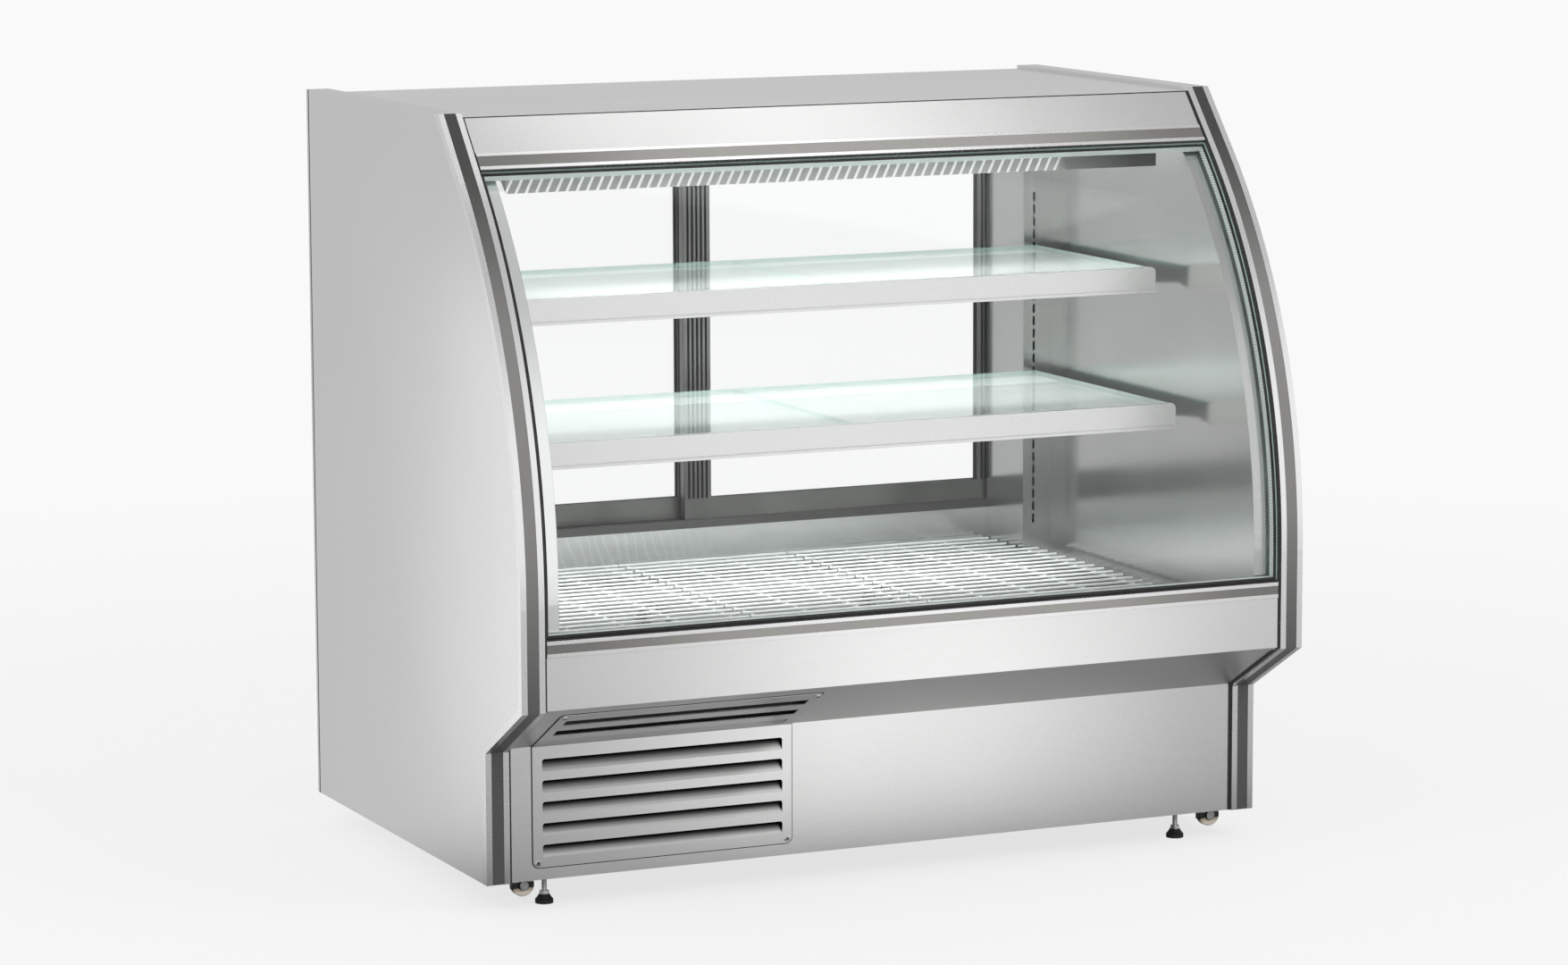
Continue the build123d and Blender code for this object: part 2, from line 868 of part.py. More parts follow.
def led_light():
    """Closed-ended light channel whose deep front hides the tubes, and the diffuser that closes it below"""
    edge = liner_half - light_end_gap
    rear = light_front - light_depth
    channel = prism([(rear, wall_top_h), (light_front, wall_top_h), (light_front, light_low_h(light_front)),
                     (rear, light_low_h(rear))], -edge, edge)
    front_d = light_front - light_sheet
    rear_d = rear + light_sheet
    top = wall_top_h - light_sheet
    inside = [(rear_d, light_low_h(rear_d) - light_sheet), (front_d, light_low_h(front_d) - light_sheet),
              (front_d, top), (rear_d, top)]
    strip = [(rear_d, light_low_h(rear_d)), (front_d, light_low_h(front_d)),
             (front_d, light_low_h(front_d) + diffuser), (rear_d, light_low_h(rear_d) + diffuser)]
    return [channel - prism(inside, light_sheet - edge, edge - light_sheet),
            prism(strip, light_sheet - edge, edge - light_sheet)]


# Wire racks

rack_limit = column_left - rack_gap
rack_side = liner_half - rack_end_gap


def rack_rows():
    """Distance from the rear of every long wire, evenly spaced over the tank"""
    first = wall_depth + sheet + rack_rear_gap + wire / 2
    last = tub_front - sheet - rack_rear_gap - wire / 2
    count = round((last - first) / wire_pitch)
    step = (last - first) / count
    return [first + step * index for index in range(count + 1)]


def is_beside_column(row):
    return row - wire / 2 < standard_front + rack_gap


def rack(x0, x1, cross_wires):
    """Long wires with free ends, welded on cross wires below and notched round a column"""
    rows = rack_rows()
    clear_rows = [row for row in rows if not is_beside_column(row)]
    body = Part()
    for row in rows:
        reach = min(x1, rack_limit) if is_beside_column(row) else x1
        body += rod_x(x0, reach, row, rack_top_h - wire / 2, wire / 2)
    for x in cross_wires:
        start = clear_rows[0] if x + wire > rack_limit else rows[0]
        body += rod_y(x, start - wire / 2, rows[-1] + wire / 2, rack_top_h - 1.5 * wire + weld, wire / 2)
    return body


def cross_places(x0, x1, count):
    """Even places for the cross wires, the outer two a wire pitch in from the ends"""
    first, last = x0 + wire_pitch / 2, x1 - wire_pitch / 2
    return [first + (last - first) * index / (count - 1) for index in range(count)]


# Base frame, rollers and levelling feet

front_tube_d = knee_depth - front_tube_setback
roller_x = half - roller_side
foot_x = half - foot_side
foot_depths = (rear_tube_d + tube / 2, front_tube_d + tube / 2)
roller_mounts = ((rear_tube_d, -1), (front_tube_d + tube, 1))
bush_radius = 2 * stem_radius
outer_tube_x = roller_x - roller_radius - roller_gap - tube


def tube_x(d0):
    outer = block(-inner_half, inner_half, d0, d0 + tube, 0, tube)
    return outer - block(-inner_half, inner_half, d0 + tube_wall, d0 + tube - tube_wall, tube_wall,
                         tube - tube_wall)


def tube_y(x0):
    d0, d1 = rear_tube_d + tube, front_tube_d
    outer = block(x0, x0 + tube, d0, d1, 0, tube)
    return outer - block(x0 + tube_wall, x0 + tube - tube_wall, d0, d1, tube_wall, tube - tube_wall)


def base_frame():
    """Welded frame of two long and four cross tubes, and the plate that carries the plant"""
    holes = [rod_z(x, d, 0, tube, bush_radius) for x in (-foot_x, foot_x) for d in foot_depths]
    long_tubes = [tube_x(rear_tube_d) - holes, tube_x(front_tube_d) - holes]
    plate = block(-inner_half, inner_half, rear_tube_d + tube, front_tube_d, tube, tube + plate_sheet)
    return long_tubes + pair(tube_y(outer_tube_x)) + pair(tube_y(inner_tube_x)) + [plate]


def roller_centre(face, outward):
    return face + outward * (roller_gap + roller_width / 2)


def roller_bracket(x, face, outward):
    """Plate on a tube, with the axle bolt that carries a roller"""
    outer = face + outward * plate_thickness
    end = roller_centre(face, outward) + outward * (roller_width / 2 + fit)
    plate = block(x - plate_width / 2, x + plate_width / 2, face, outer, roller_h - 2 * axle_radius, tube)
    return (plate + rod_y(x, outer, end, roller_h, axle_radius)
            + rod_y(x, end, end + outward * axle_head, roller_h, axle_radius + axle_head))


def roller_hardware():
    """Roller brackets and the threaded bushes of the feet"""
    made = [roller_bracket(x, *mount) for x in (-roller_x, roller_x) for mount in roller_mounts]
    for x in (-foot_x, foot_x):
        for d in foot_depths:
            made.append(rod_z(x, d, 0, tube, bush_radius) - rod_z(x, d, 0, tube, stem_radius + fit))
    return made


def roller(x, d):
    """Nylon wheel with a rounded tread and a dished hub"""
    wheel = Cylinder(roller_radius, roller_width)
    wheel = fillet(wheel.edges(), roller_round)
    dish = Pos(0, 0, roller_width / 2) * Cylinder(roller_radius / 2, 2 * hub_dish)
    wheel = wheel - dish - mirror(dish, about=Plane.XY) - Cylinder(axle_radius + axle_fit, roller_width)
    return place(x, d, roller_h) * Rot(90, 0, 0) * wheel


def foot(x, d):
    """Threaded stem with its nut, on a bell shaped rubber pad"""
    low = -floor_gap
    neck = low + foot_height
    seat = low + foot_height / 2
    stem = rod_z(x, d, seat, stem_top_h, stem_radius)
    nut = place(x, d, neck) * extrude(RegularPolygon(2 * stem_radius, 6), nut_height)
    outline = Polyline((0, 0), (foot_radius, 0), (foot_radius, foot_rim), (foot_radius - 2, foot_rim + 2),
                       (2 * stem_radius, foot_height), (0, foot_height), close=True)
    pad = place(x, d, low) * revolve(Plane.XZ * make_face(outline), Axis.Z)
    return [stem + nut, pad - stem]


# Condensing unit in the base

unit_floor_h = tube + plate_sheet
condenser_left = condenser_side - half
condenser_right = condenser_left + condenser_width
condenser_top_h = foam_floor_h - condenser_top_gap
condenser_front = knee_depth - condenser_setback
condenser_rear = condenser_front - condenser_depth
shroud_rear = condenser_rear - shroud_depth
fan_x = (condenser_left + condenser_right) / 2
fan_h = (unit_floor_h + condenser_top_h) / 2
fan_d = condenser_rear - shroud_depth / 2


def fan_rotor(radius, hub, chord, bore):
    """Five twisted blades on a hub, about the Z axis"""
    rotor = Cylinder(hub, chord * 0.8)
    for index in range(5):
        root = Plane.YZ.offset(hub / 2) * Rot(0, 0, 35) * Rectangle(chord, 2)
        tip = Plane.YZ.offset(radius) * Rot(0, 0, 20) * Rectangle(chord * 1.2, 1.5)
        rotor += Rot(0, 0, 72 * index) * loft([root, tip])
    return rotor - Cylinder(bore, 2 * chord)


def return_bend(radius, tube_radius):
    """Half ring of tube that bulges towards +X and joins two rows of a coil"""
    path = ThreePointArc((0, -radius, 0), (radius, 0, 0), (0, radius, 0))
    return sweep(Plane(origin=path @ 0, z_dir=path % 0) * Circle(tube_radius), path)


def condenser_coil():
    """Fin block between two end plates, with return bends"""
    left, right = condenser_left + end_plate, condenser_right - end_plate
    coil = block(left, right, condenser_rear, condenser_front, unit_floor_h, condenser_top_h)
    for x in (condenser_left, right):
        coil += block(x, x + end_plate, condenser_rear - fit, condenser_front + coil_tube, unit_floor_h,
                      condenser_top_h)
    step = (condenser_top_h - unit_floor_h) / condenser_rows
    for index in range(condenser_rows):
        spot = place(condenser_right, condenser_rear + condenser_depth / 2, unit_floor_h + step * (index + 0.5))
        coil += spot * return_bend(bend_radius_small, coil_tube)
    return coil


def condenser_shroud():
    """Fan shroud with its opening, motor, shaft and motor arm"""
    front = condenser_rear - fit
    body = block(condenser_left, condenser_right, shroud_rear, front, unit_floor_h, condenser_top_h)
    body -= block(condenser_left + end_plate, condenser_right - end_plate, shroud_rear + end_plate, front,
                  unit_floor_h + end_plate, condenser_top_h - end_plate)
    body -= rod_y(fan_x, shroud_rear, shroud_rear + end_plate, fan_h, fan_radius + fan_clearance)
    motor_front = shroud_rear - 3 * end_plate
    arm = fan_radius + 3 * fan_clearance
    arm_low, arm_high = fan_h - arm_width / 2, fan_h + arm_width / 2
    body += rod_y(fan_x, motor_front - motor_length, motor_front, fan_h, motor_radius)
    body += rod_y(fan_x, motor_front, fan_d + fan_hub / 2, fan_h, shaft_radius)
    body += block(fan_x - arm, fan_x + arm, motor_front - 2 * end_plate, motor_front, arm_low, arm_high)
    for x in (fan_x - arm, fan_x + arm - arm_width / 2):
        body += block(x, x + arm_width / 2, motor_front - 2 * end_plate, shroud_rear, arm_low, arm_high)
    return body


compressor_top_h = unit_floor_h + shell_lift + shell_lower + shell_upper


def compressor():
    """Welded shell of two pressed halves on its rubber mounted plate"""
    base = unit_floor_h
    outline = Rectangle(2 * shell_spread, 2 * shell_radius)
    for x in (-shell_spread, shell_spread):
        outline += Pos(x, 0) * Circle(shell_radius)
    lower = extrude(outline, shell_lower)
    upper = extrude(offset(outline, -shell_step), shell_lower + shell_upper)
    upper = fillet(upper.edges().group_by(Axis.Z)[-1], shell_round)
    seam = Pos(0, 0, shell_lower - seam_height) * extrude(offset(outline, seam_flange), seam_height)
    body = place(compressor_x, compressor_d, base + shell_lift) * (lower + upper + seam)
    top = base + mount_lift + mount_sheet
    body += block(compressor_x - mount_half, compressor_x + mount_half, compressor_d - shell_radius,
                  compressor_d + shell_radius, base + mount_lift, top)
    body += block(compressor_x - saddle_half, compressor_x + saddle_half, compressor_d - saddle_half,
                  compressor_d + saddle_half, base + mount_lift, base + shell_lift)
    for x in (compressor_x - rubber_x, compressor_x + rubber_x):
        for d in (compressor_d - rubber_d, compressor_d + rubber_d):
            body += rod_z(x, d, base, top + rubber_proud, rubber_radius)
    side = compressor_x + shell_spread + shell_radius
    return body + block(side - terminal_depth / 2, side + terminal_depth, compressor_d - terminal_half,
                        compressor_d + terminal_half, base + terminal_low, base + terminal_low + terminal_height)


def pipe(points):
    """Copper tube through straight runs and round bends"""
    places = [(x, rear_y - d, floor_gap + h) for x, d, h in points]
    path = FilletPolyline(*places, radius=pipe_bend)
    return sweep(Plane(origin=path @ 0, z_dir=path % 0) * Circle(pipe_radius), path)


def pipework():
    """Receiver and the copper lines between compressor, condenser and evaporator"""
    receiver = rod_z(receiver_x, receiver_d, unit_floor_h, unit_floor_h + receiver_height, receiver_radius)
    receiver = fillet(receiver.edges().group_by(Axis.Z)[-1], receiver_radius / 2)
    level = foam_floor_h - pipe_level_gap
    near = condenser_right + 2 * bend_radius_small + 2 * pipe_bend
    coil_d = condenser_rear + condenser_depth / 2
    coil_h = unit_floor_h + (condenser_top_h - unit_floor_h) * 0.4
    discharge = pipe([(compressor_x - 30, compressor_d, compressor_top_h), (compressor_x - 30, compressor_d, level),
                      (near, compressor_d, level), (near, coil_d, level), (near, coil_d, coil_h),
                      (condenser_right, coil_d, coil_h)])
    suction = pipe([(compressor_x + 30, compressor_d, compressor_top_h), (compressor_x + 30, compressor_d, level),
                    (riser_x, compressor_d, level), (riser_x, riser_d, level), (riser_x, riser_d, riser_top_h),
                    (evap_half + end_plate, riser_d, riser_top_h)])
    return [receiver, discharge, suction]


# Evaporator and its fans in the tank

evap_half = half - evap_side
riser_x = evap_half + riser_gap
evap_floor_h = tank_floor_h + sheet
evap_front = evap_rear + evap_depth
evap_fan_h = evap_floor_h + evap_fan_radius + evap_lift + 1
evap_fan_d = evap_front + cowl_gap - 12
cowl_top_h = evap_floor_h + 2 * (evap_fan_radius + evap_lift) + 4


def evaporator_coil():
    """Fin block with end plates and return bends, standing on the tank floor"""
    top = evap_floor_h + evap_height
    coil = block(-evap_half, evap_half, evap_rear, evap_front, evap_floor_h + evap_lift, top)
    for x in (-evap_half - end_plate, evap_half):
        coil += block(x, x + end_plate, evap_rear - evap_lift, evap_front + evap_lift, evap_floor_h, top + evap_lift)
    for share in (0.2, 0.5, 0.8):
        spot = place(evap_half + end_plate, evap_rear + evap_depth * share, evap_floor_h + evap_height / 2)
        coil += spot * return_bend(bend_radius_small, coil_tube)
    return coil


def evaporator_cowl():
    """Folded fan plate in front of the coil with two motors on arms"""
    front = evap_front + cowl_gap
    edge = evap_half + end_plate
    body = block(-edge, edge, front - sheet, front, evap_floor_h, cowl_top_h)
    body += block(-edge, edge, evap_front + evap_lift + fit, front, cowl_top_h - sheet, cowl_top_h)
    body -= [rod_y(x, front - sheet, front, evap_fan_h, evap_fan_radius + 1) for x in (-evap_fan_x, evap_fan_x)]
    for x in (-evap_fan_x, evap_fan_x):
        body += block(x - 3, x + 3, front, front + 4, evap_floor_h, cowl_top_h)
        body += rod_y(x, front, front + 24, evap_fan_h, evap_motor_radius)
        body += rod_y(x, evap_fan_d - evap_hub / 2, front, evap_fan_h, evap_shaft)
    return body


# Rear cover, controls and condensate pan

cover_top_h = foam_floor_h - cover_top_gap
box_right = half - box_side
box_left = box_right - box_width
knob_x = box_left + knob_shift
switch_x = box_left + switch_shift
gland_x = box_left + gland_shift


def rear_access_panel():
    """Removable rear cover of the machine space with rows of air slots"""
    body = block(-inner_half, inner_half, cover_d, cover_d + sheet, cover_bottom_h, cover_top_h)
    body += block(-inner_half, inner_half, sheet, cover_d + sheet, cover_top_h - sheet, cover_top_h)
    for left in [condenser_left + shift for shift in vent_shifts]:
        body -= [block(left, left + vent_width, cover_d, cover_d + sheet, vent_low_h + vent_pitch * row,
                       vent_low_h + vent_pitch * row + vent_height) for row in range(vent_rows)]
    return body - control_holes()


def control_holes():
    """Openings for the thermostat shaft, the light switch and the cable gland"""
    room = switch_gap
    inner = cover_d + sheet + box_sheet
    return [rod_y(knob_x, cover_d, inner, knob_h, knob_shaft + axle_fit),
            block(switch_x - switch_width / 2 - room, switch_x + switch_width / 2 + room, cover_d, inner,
                  switch_h - switch_height / 2 - 3 * room, switch_h + switch_height / 2 + 3 * room),
            rod_y(gland_x, cover_d, inner, gland_h, gland_radius)]


def electrical_box():
    """Control box behind the cover, and the cable gland through it"""
    rear = cover_d + sheet
    body = block(box_left, box_right, rear, box_front_d, box_low_h, box_high_h)
    body -= block(box_left + box_sheet, box_right - box_sheet, rear + box_sheet, box_front_d - box_sheet,
                  box_low_h + box_sheet, box_high_h - box_sheet)
    gland = rod_y(gland_x, cover_d - gland_radius, rear + 2 * gland_radius, gland_h, gland_radius)
    gland += rod_y(gland_x, cover_d - gland_radius / 2, cover_d, gland_h, gland_radius + 4)
    gland -= rod_y(gland_x, cover_d - gland_radius, rear + 2 * gland_radius, gland_h, gland_radius / 2)
    return [body - control_holes(), gland]


def thermostat_knob():
    """Knob with a pointer rib and its shaft through the cover"""
    body = Cylinder(knob_radius, knob_height)
    body = fillet(body.edges().group_by(Axis.Z)[-1], 2)
    body += Pos(0, knob_radius / 2, knob_height / 2) * Box(2, knob_radius - 4, 2)
    shaft_length = fit + sheet + 2 * box_sheet
    body += Pos(0, 0, -(knob_height + shaft_length) / 2) * Cylinder(knob_shaft, shaft_length)
    return place(knob_x, cover_d - fit - knob_height / 2, knob_h) * Rot(-90, 0, 0) * body


def light_switch():
    """Rocker, stored with its lower half pressed in"""
    side, ear = switch_height / 2, switch_proud
    outline = Polyline((-side, -switch_body), (-side, ear), (0, ear / 2), (side, ear), (side, -switch_body),
                       close=True)
    body = extrude(Plane.YZ * make_face(outline), switch_width / 2, both=True)
    return place(switch_x, cover_d + sheet, switch_h) * Rot(switch_tilt - 90, 0, 0) * body


def condensate_pan():
    """Plastic pan below the tank drain, and the drain tube"""
    low = unit_floor_h
    pan = block(pan_left, pan_right, pan_rear, pan_front, low, low + pan_height)
    pan -= block(pan_left + pan_wall, pan_right - pan_wall, pan_rear + pan_wall, pan_front - pan_wall,
                 low + pan_wall, low + pan_height)
    drain = rod_z(0, drain_d, low + pan_height / 2, tank_floor_h, drain_radius - fit)
    return [pan, drain - rod_z(0, drain_d, low, tank_floor_h + sheet, drain_radius - 3)]


if __name__ == "__main__":
    save("base_frame", base_frame())
    save("roller_hardware", roller_hardware())
    for side, x in (("left", -1), ("right", 1)):
        for end, (face, outward), d in (("rear", roller_mounts[0], foot_depths[0]),
                                        ("front", roller_mounts[1], foot_depths[1])):
            save(f"roller_{end}_{side}", roller(x * roller_x, roller_centre(face, outward)))
            save(f"foot_{end}_{side}", foot(x * foot_x, d))

    skin, trim = end_skin(), edge_trim()
    save("end_skin_right", skin)
    save("end_skin_left", [mirrored(solid) for solid in skin])
    save("edge_trim_right", trim)
    save("edge_trim_left", mirrored(trim))
    save("end_liners", pair(end_liner()))

    header, header_core = rear_header()
    wall, wall_core = channel_wall(cover_top_h, sill_h)
    save("rear_header", header)
    save("rear_wall", wall)
    save("insulation", pair(end_foam()), pair(liner_foam()), top_foam(), tank_foam(), header_core, wall_core)
    save("dark_inserts", pair(trim_insert()), bar_insert(slope_band, bar_top_run, bar_length),
         bar_insert(nose_band, bar_bottom_h, bar_height))

    save("top_panel", top_panel())
    save("canopy_fascia", canopy_fascia())
    save("glazing_bar_top", glazing_bar(slope_band, bar_top_run, bar_length))
    save("glazing_bar_bottom", glazing_bar(nose_band, bar_bottom_h, bar_height))
    save("nose_panel", nose_panel())
    save("lower_front_panel", lower_front_panel())
    save("front_grille", front_grille())
    save("grille_screws", at_screws(grille_screw()))

    save("glass_outer", glass_pane(glass_inset))
    save("glass_inner", glass_pane(glass_inset + glass_thickness + glass_gap))
    save("glass_spacer", glass_spacer())
    save("glass_gaskets", glass_gaskets())
    save("tank_liner", tank_liner())

    save("corner_columns", pair(corner_column()))
    save("shelf_standards", pair(slotted_standard()))
    save("door_frame", door_frame())
    left_frame, left_pane = door(tracks[0])
    right_frame, right_pane = [mirrored(piece) for piece in door(tracks[1])]
    save("door_left_frame", left_frame)
    save("door_left_glass", left_pane)
    save("door_right_frame", right_frame)
    save("door_right_glass", right_pane)

    save("shelf_brackets", *[pair(shelf_bracket(*shelf)) for shelf in shelves])
    save("shelf_glass", *[shelf_panes(*shelf) for shelf in shelves])
    save("shelf_lips", [shelf_lip(*shelf) for shelf in shelves])
    save("led_light", led_light())

    side_places = cross_places(rack_joint + rack_gap / 2, rack_side, 5)
    side_rack = rack(rack_joint + rack_gap / 2, rack_side, side_places)
    centre_edge = rack_joint - rack_gap / 2
    save("rack_right", side_rack)
    save("rack_left", mirrored(side_rack))
    save("rack_centre", rack(-centre_edge, centre_edge, cross_places(-centre_edge, centre_edge, 4)))

    save("condenser_coil", condenser_coil())
    save("condenser_shroud", condenser_shroud())
    save("condenser_fan", place(fan_x, fan_d, fan_h) * Rot(90, 0, 0)
         * fan_rotor(fan_radius, fan_hub, fan_chord, shaft_radius + axle_fit))
    save("compressor", compressor())
    save("pipework", pipework())
    save("evaporator_coil", evaporator_coil())
    save("evaporator_cowl", evaporator_cowl())
    for side, x in (("left", -evap_fan_x), ("right", evap_fan_x)):
        save(f"evaporator_fan_{side}", place(x, evap_fan_d, evap_fan_h) * Rot(90, 0, 0)
             * fan_rotor(evap_fan_radius, evap_hub, evap_chord, evap_shaft + axle_fit))

    save("rear_access_panel", rear_access_panel())
    save("electrical_box", electrical_box())
    save("thermostat_knob", thermostat_knob())
    save("light_switch", light_switch())
    save("condensate_pan", condensate_pan())
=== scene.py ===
import json
import math

import bmesh
import bpy
from mathutils import Matrix, Vector


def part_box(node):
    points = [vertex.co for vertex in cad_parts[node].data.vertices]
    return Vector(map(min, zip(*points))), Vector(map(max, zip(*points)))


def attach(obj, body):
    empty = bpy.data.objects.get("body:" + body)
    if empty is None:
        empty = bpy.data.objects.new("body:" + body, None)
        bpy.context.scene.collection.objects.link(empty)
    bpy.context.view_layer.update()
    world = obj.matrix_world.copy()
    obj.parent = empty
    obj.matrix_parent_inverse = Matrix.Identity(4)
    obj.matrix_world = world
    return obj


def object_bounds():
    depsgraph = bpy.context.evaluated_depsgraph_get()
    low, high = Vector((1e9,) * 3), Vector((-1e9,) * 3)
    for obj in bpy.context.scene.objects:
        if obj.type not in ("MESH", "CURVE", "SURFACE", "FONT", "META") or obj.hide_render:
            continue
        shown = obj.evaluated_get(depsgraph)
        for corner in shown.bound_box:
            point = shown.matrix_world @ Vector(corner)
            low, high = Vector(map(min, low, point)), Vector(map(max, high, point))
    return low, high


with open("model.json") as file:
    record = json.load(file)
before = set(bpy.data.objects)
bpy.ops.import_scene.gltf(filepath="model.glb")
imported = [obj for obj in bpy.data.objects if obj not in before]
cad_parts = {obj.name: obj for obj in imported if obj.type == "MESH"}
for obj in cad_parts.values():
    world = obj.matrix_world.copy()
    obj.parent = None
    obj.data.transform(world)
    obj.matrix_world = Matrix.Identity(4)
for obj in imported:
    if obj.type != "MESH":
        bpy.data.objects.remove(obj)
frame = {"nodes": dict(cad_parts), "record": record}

# Everything is in metres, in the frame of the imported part
cad_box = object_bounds()
nodes = frame["nodes"]
scene = bpy.context.scene
scene.view_settings.view_transform = "Standard"
# Two glass doors, two shelves and a double front make many clear layers in a row
scene.cycles.transparent_max_bounces = 24


# Camera

CAMERA_PLACE = Vector((-3.35937, -7.38102, 1.77689))
CAMERA_LENS = 117.675
CAMERA_AZIMUTH = math.radians(-24.3)
CAMERA_ELEVATION = math.radians(8.403)
CAMERA_ROLL = math.radians(-0.2157)


def make_camera():
    """Camera at the photograph's viewing angle"""
    data = bpy.data.cameras.new("camera")
    data.sensor_width = 36
    data.lens = CAMERA_LENS
    data.clip_end = 200
    camera = bpy.data.objects.new("camera", data)
    level = math.cos(CAMERA_ELEVATION)
    back = Vector((math.sin(CAMERA_AZIMUTH) * level, -math.cos(CAMERA_AZIMUTH) * level,
                   math.sin(CAMERA_ELEVATION)))
    right = (-back).cross(Vector((0, 0, 1))).normalized()
    up = right.cross(-back)
    turn = Matrix.Rotation(CAMERA_ROLL, 3, back)
    axes = Matrix((turn @ right, turn @ up, back)).transposed()
    camera.matrix_world = Matrix.Translation(CAMERA_PLACE) @ axes.to_4x4()
    scene.collection.objects.link(camera)
    scene.camera = camera


# Front sheet, from the nose under the glass back to the knee and down the base

NOSE = Vector((0, -0.461, 0.335))
KNEE_SETBACK = 0.152
KNEE_DROP = 0.085
KNEE_Z = NOSE.z - KNEE_DROP
BASE_FACE = NOSE.y + KNEE_SETBACK
UNDER_RUN = Vector((0, KNEE_SETBACK, -KNEE_DROP)).normalized()
UNDER_OUT = Vector((0, UNDER_RUN.z, -UNDER_RUN.y))
PANEL_INSET = 0.006
GRILLE_INSET = 0.0045
GRILLE_FACE = BASE_FACE + GRILLE_INSET
GRILLE_SIDES = (-0.583, -0.153)
GRILLE_TOP_RUN = 0.034
GRILLE_BOTTOM = 0.066
GRILLE_CORNER = 0.01

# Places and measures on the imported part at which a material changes

END_SEAM_SHADE = (0.4496, 0.4538)
END_FACE = cad_box[1][0] - 0.001
TRIM_START = 0.62
LINER_RETURN = 0.5885
FOOT_PAD_TOP = 0.0142
FOLD_GAP_SHADE = 0.0016
DOOR_GROOVE_SHADE = (0.0004, 0.0022)
LOUVRE_SHADE = (0.0022, 0.0105)
VENT_PITCH = 0.0036
THREAD_PITCH = 0.0015

# Painted reflection stripes, bright and glowing, on the front face of the light channel

STRIPE_PITCH = 1 / 60
STRIPE_SLANT = 0.48
STRIPE_END = 0.375


# Node helpers

def add_node(tree, kind, **settings):
    """New shader node with some of its own settings"""
    made = tree.nodes.new(kind)
    for name, value in settings.items():
        setattr(made, name, value)
    return made


def fill(tree, made, **sockets):
    """Set or link a node's inputs, named with underscores for spaces, or n and a number"""
    for name, value in sockets.items():
        numbered = name[0] == "n" and name[1:].isdigit()
        socket = made.inputs[int(name[1:])] if numbered else made.inputs[name.replace("_", " ")]
        if isinstance(value, bpy.types.NodeSocket):
            tree.links.new(value, socket)
        elif isinstance(value, tuple) and len(value) == 3 and socket.type == "RGBA":
            socket.default_value = value + (1,)
        elif isinstance(value, float) and socket.type == "RGBA":
            socket.default_value = (value, value, value, 1)
        else:
            socket.default_value = value
    return made


def value_math(tree, operation, first, second=0.0, third=0.0):
    made = add_node(tree, "ShaderNodeMath", operation=operation)
    return fill(tree, made, n0=first, n1=second, n2=third).outputs[0]


def above(tree, value, limit):
    return value_math(tree, "GREATER_THAN", value, limit)


def below(tree, value, limit):
    return value_math(tree, "LESS_THAN", value, limit)


def size_of(tree, value):
    return value_math(tree, "ABSOLUTE", value)


def product(tree, first, *others):
    for other in others:
        first = value_math(tree, "MULTIPLY", first, other)
    return first


def largest(tree, first, *others):
    for other in others:
        first = value_math(tree, "MAXIMUM", first, other)
    return first


def between(tree, value, low, high):
    return product(tree, above(tree, value, low), below(tree, value, high))


def weighted(tree, first, share, second, other_share):
    """Sum of two values, each by its own share"""
    return value_math(tree, "MULTIPLY_ADD", first, share, product(tree, second, other_share))


def ripple(tree, value, pitch):
    """Wave from -1 to 1 that repeats at every pitch"""
    return value_math(tree, "SINE", product(tree, value, 2 * math.pi / pitch))


def spread(tree, value, low, high, to_low=0.0, to_high=1.0, smooth=False):
    """Value moved from one range to another and clamped there"""
    made = add_node(tree, "ShaderNodeMapRange")
    if smooth:
        made.interpolation_type = "SMOOTHSTEP"
    fill(tree, made, Value=value, From_Min=low, From_Max=high, To_Min=to_low, To_Max=to_high)
    return made.outputs[0]


def mix_colour(tree, share, first, second):
    made = add_node(tree, "ShaderNodeMix", data_type="RGBA")
    return fill(tree, made, n0=share, n6=first, n7=second).outputs[2]


def mottled(tree, pattern, dark, light):
    """Dark to light over the middle of a noise's range"""
    return mix_colour(tree, spread(tree, pattern, 0.35, 0.65), dark, light)


def shine(tree, pattern, low, high):
    """Roughness that follows a noise"""
    return spread(tree, pattern, 0.3, 0.7, low, high)


def mix_shader(tree, share, first, second):
    made = add_node(tree, "ShaderNodeMixShader")
    return fill(tree, made, n0=share, n1=first, n2=second).outputs[0]


def scaled_place(tree, scale=(1, 1, 1)):
    """Place on the piece, stretched by a scale along each axis"""
    coordinates = add_node(tree, "ShaderNodeTexCoord")
    mapping = add_node(tree, "ShaderNodeMapping")
    return fill(tree, mapping, Vector=coordinates.outputs["Object"], Scale=scale).outputs[0]


def parts_of(tree, vector):
    """A vector's X, Y and Z as three outputs"""
    split = add_node(tree, "ShaderNodeSeparateXYZ")
    return fill(tree, split, Vector=vector).outputs


def place_parts(tree):
    """Place on the piece as three numbers in metres"""
    return parts_of(tree, scaled_place(tree))


def facing_parts(tree):
    """Direction that the surface faces, as three numbers"""
    return parts_of(tree, add_node(tree, "ShaderNodeTexCoord").outputs["Normal"])


def noise(tree, scale, stretch=(1, 1, 1), detail=3.0, roughness=0.5):
    made = add_node(tree, "ShaderNodeTexNoise")
    fill(tree, made, Vector=scaled_place(tree, stretch), Scale=scale, Detail=detail, Roughness=roughness)
    return made.outputs[0]


def speckles(tree):
    """Fine even grain of a satin sheet"""
    return noise(tree, 420.0, detail=1.0)


def bump(tree, height, strength, distance, normal=None):
    made = add_node(tree, "ShaderNodeBump")
    if normal is not None:
        fill(tree, made, Normal=normal)
    return fill(tree, made, Height=height, Strength=strength, Distance=distance).outputs[0]


def soft_edges(tree, radius):
    """Normal that rounds the edges of an extrusion, so that they catch a line of light"""
    made = add_node(tree, "ShaderNodeBevel", samples=4)
    return fill(tree, made, Radius=radius).outputs[0]


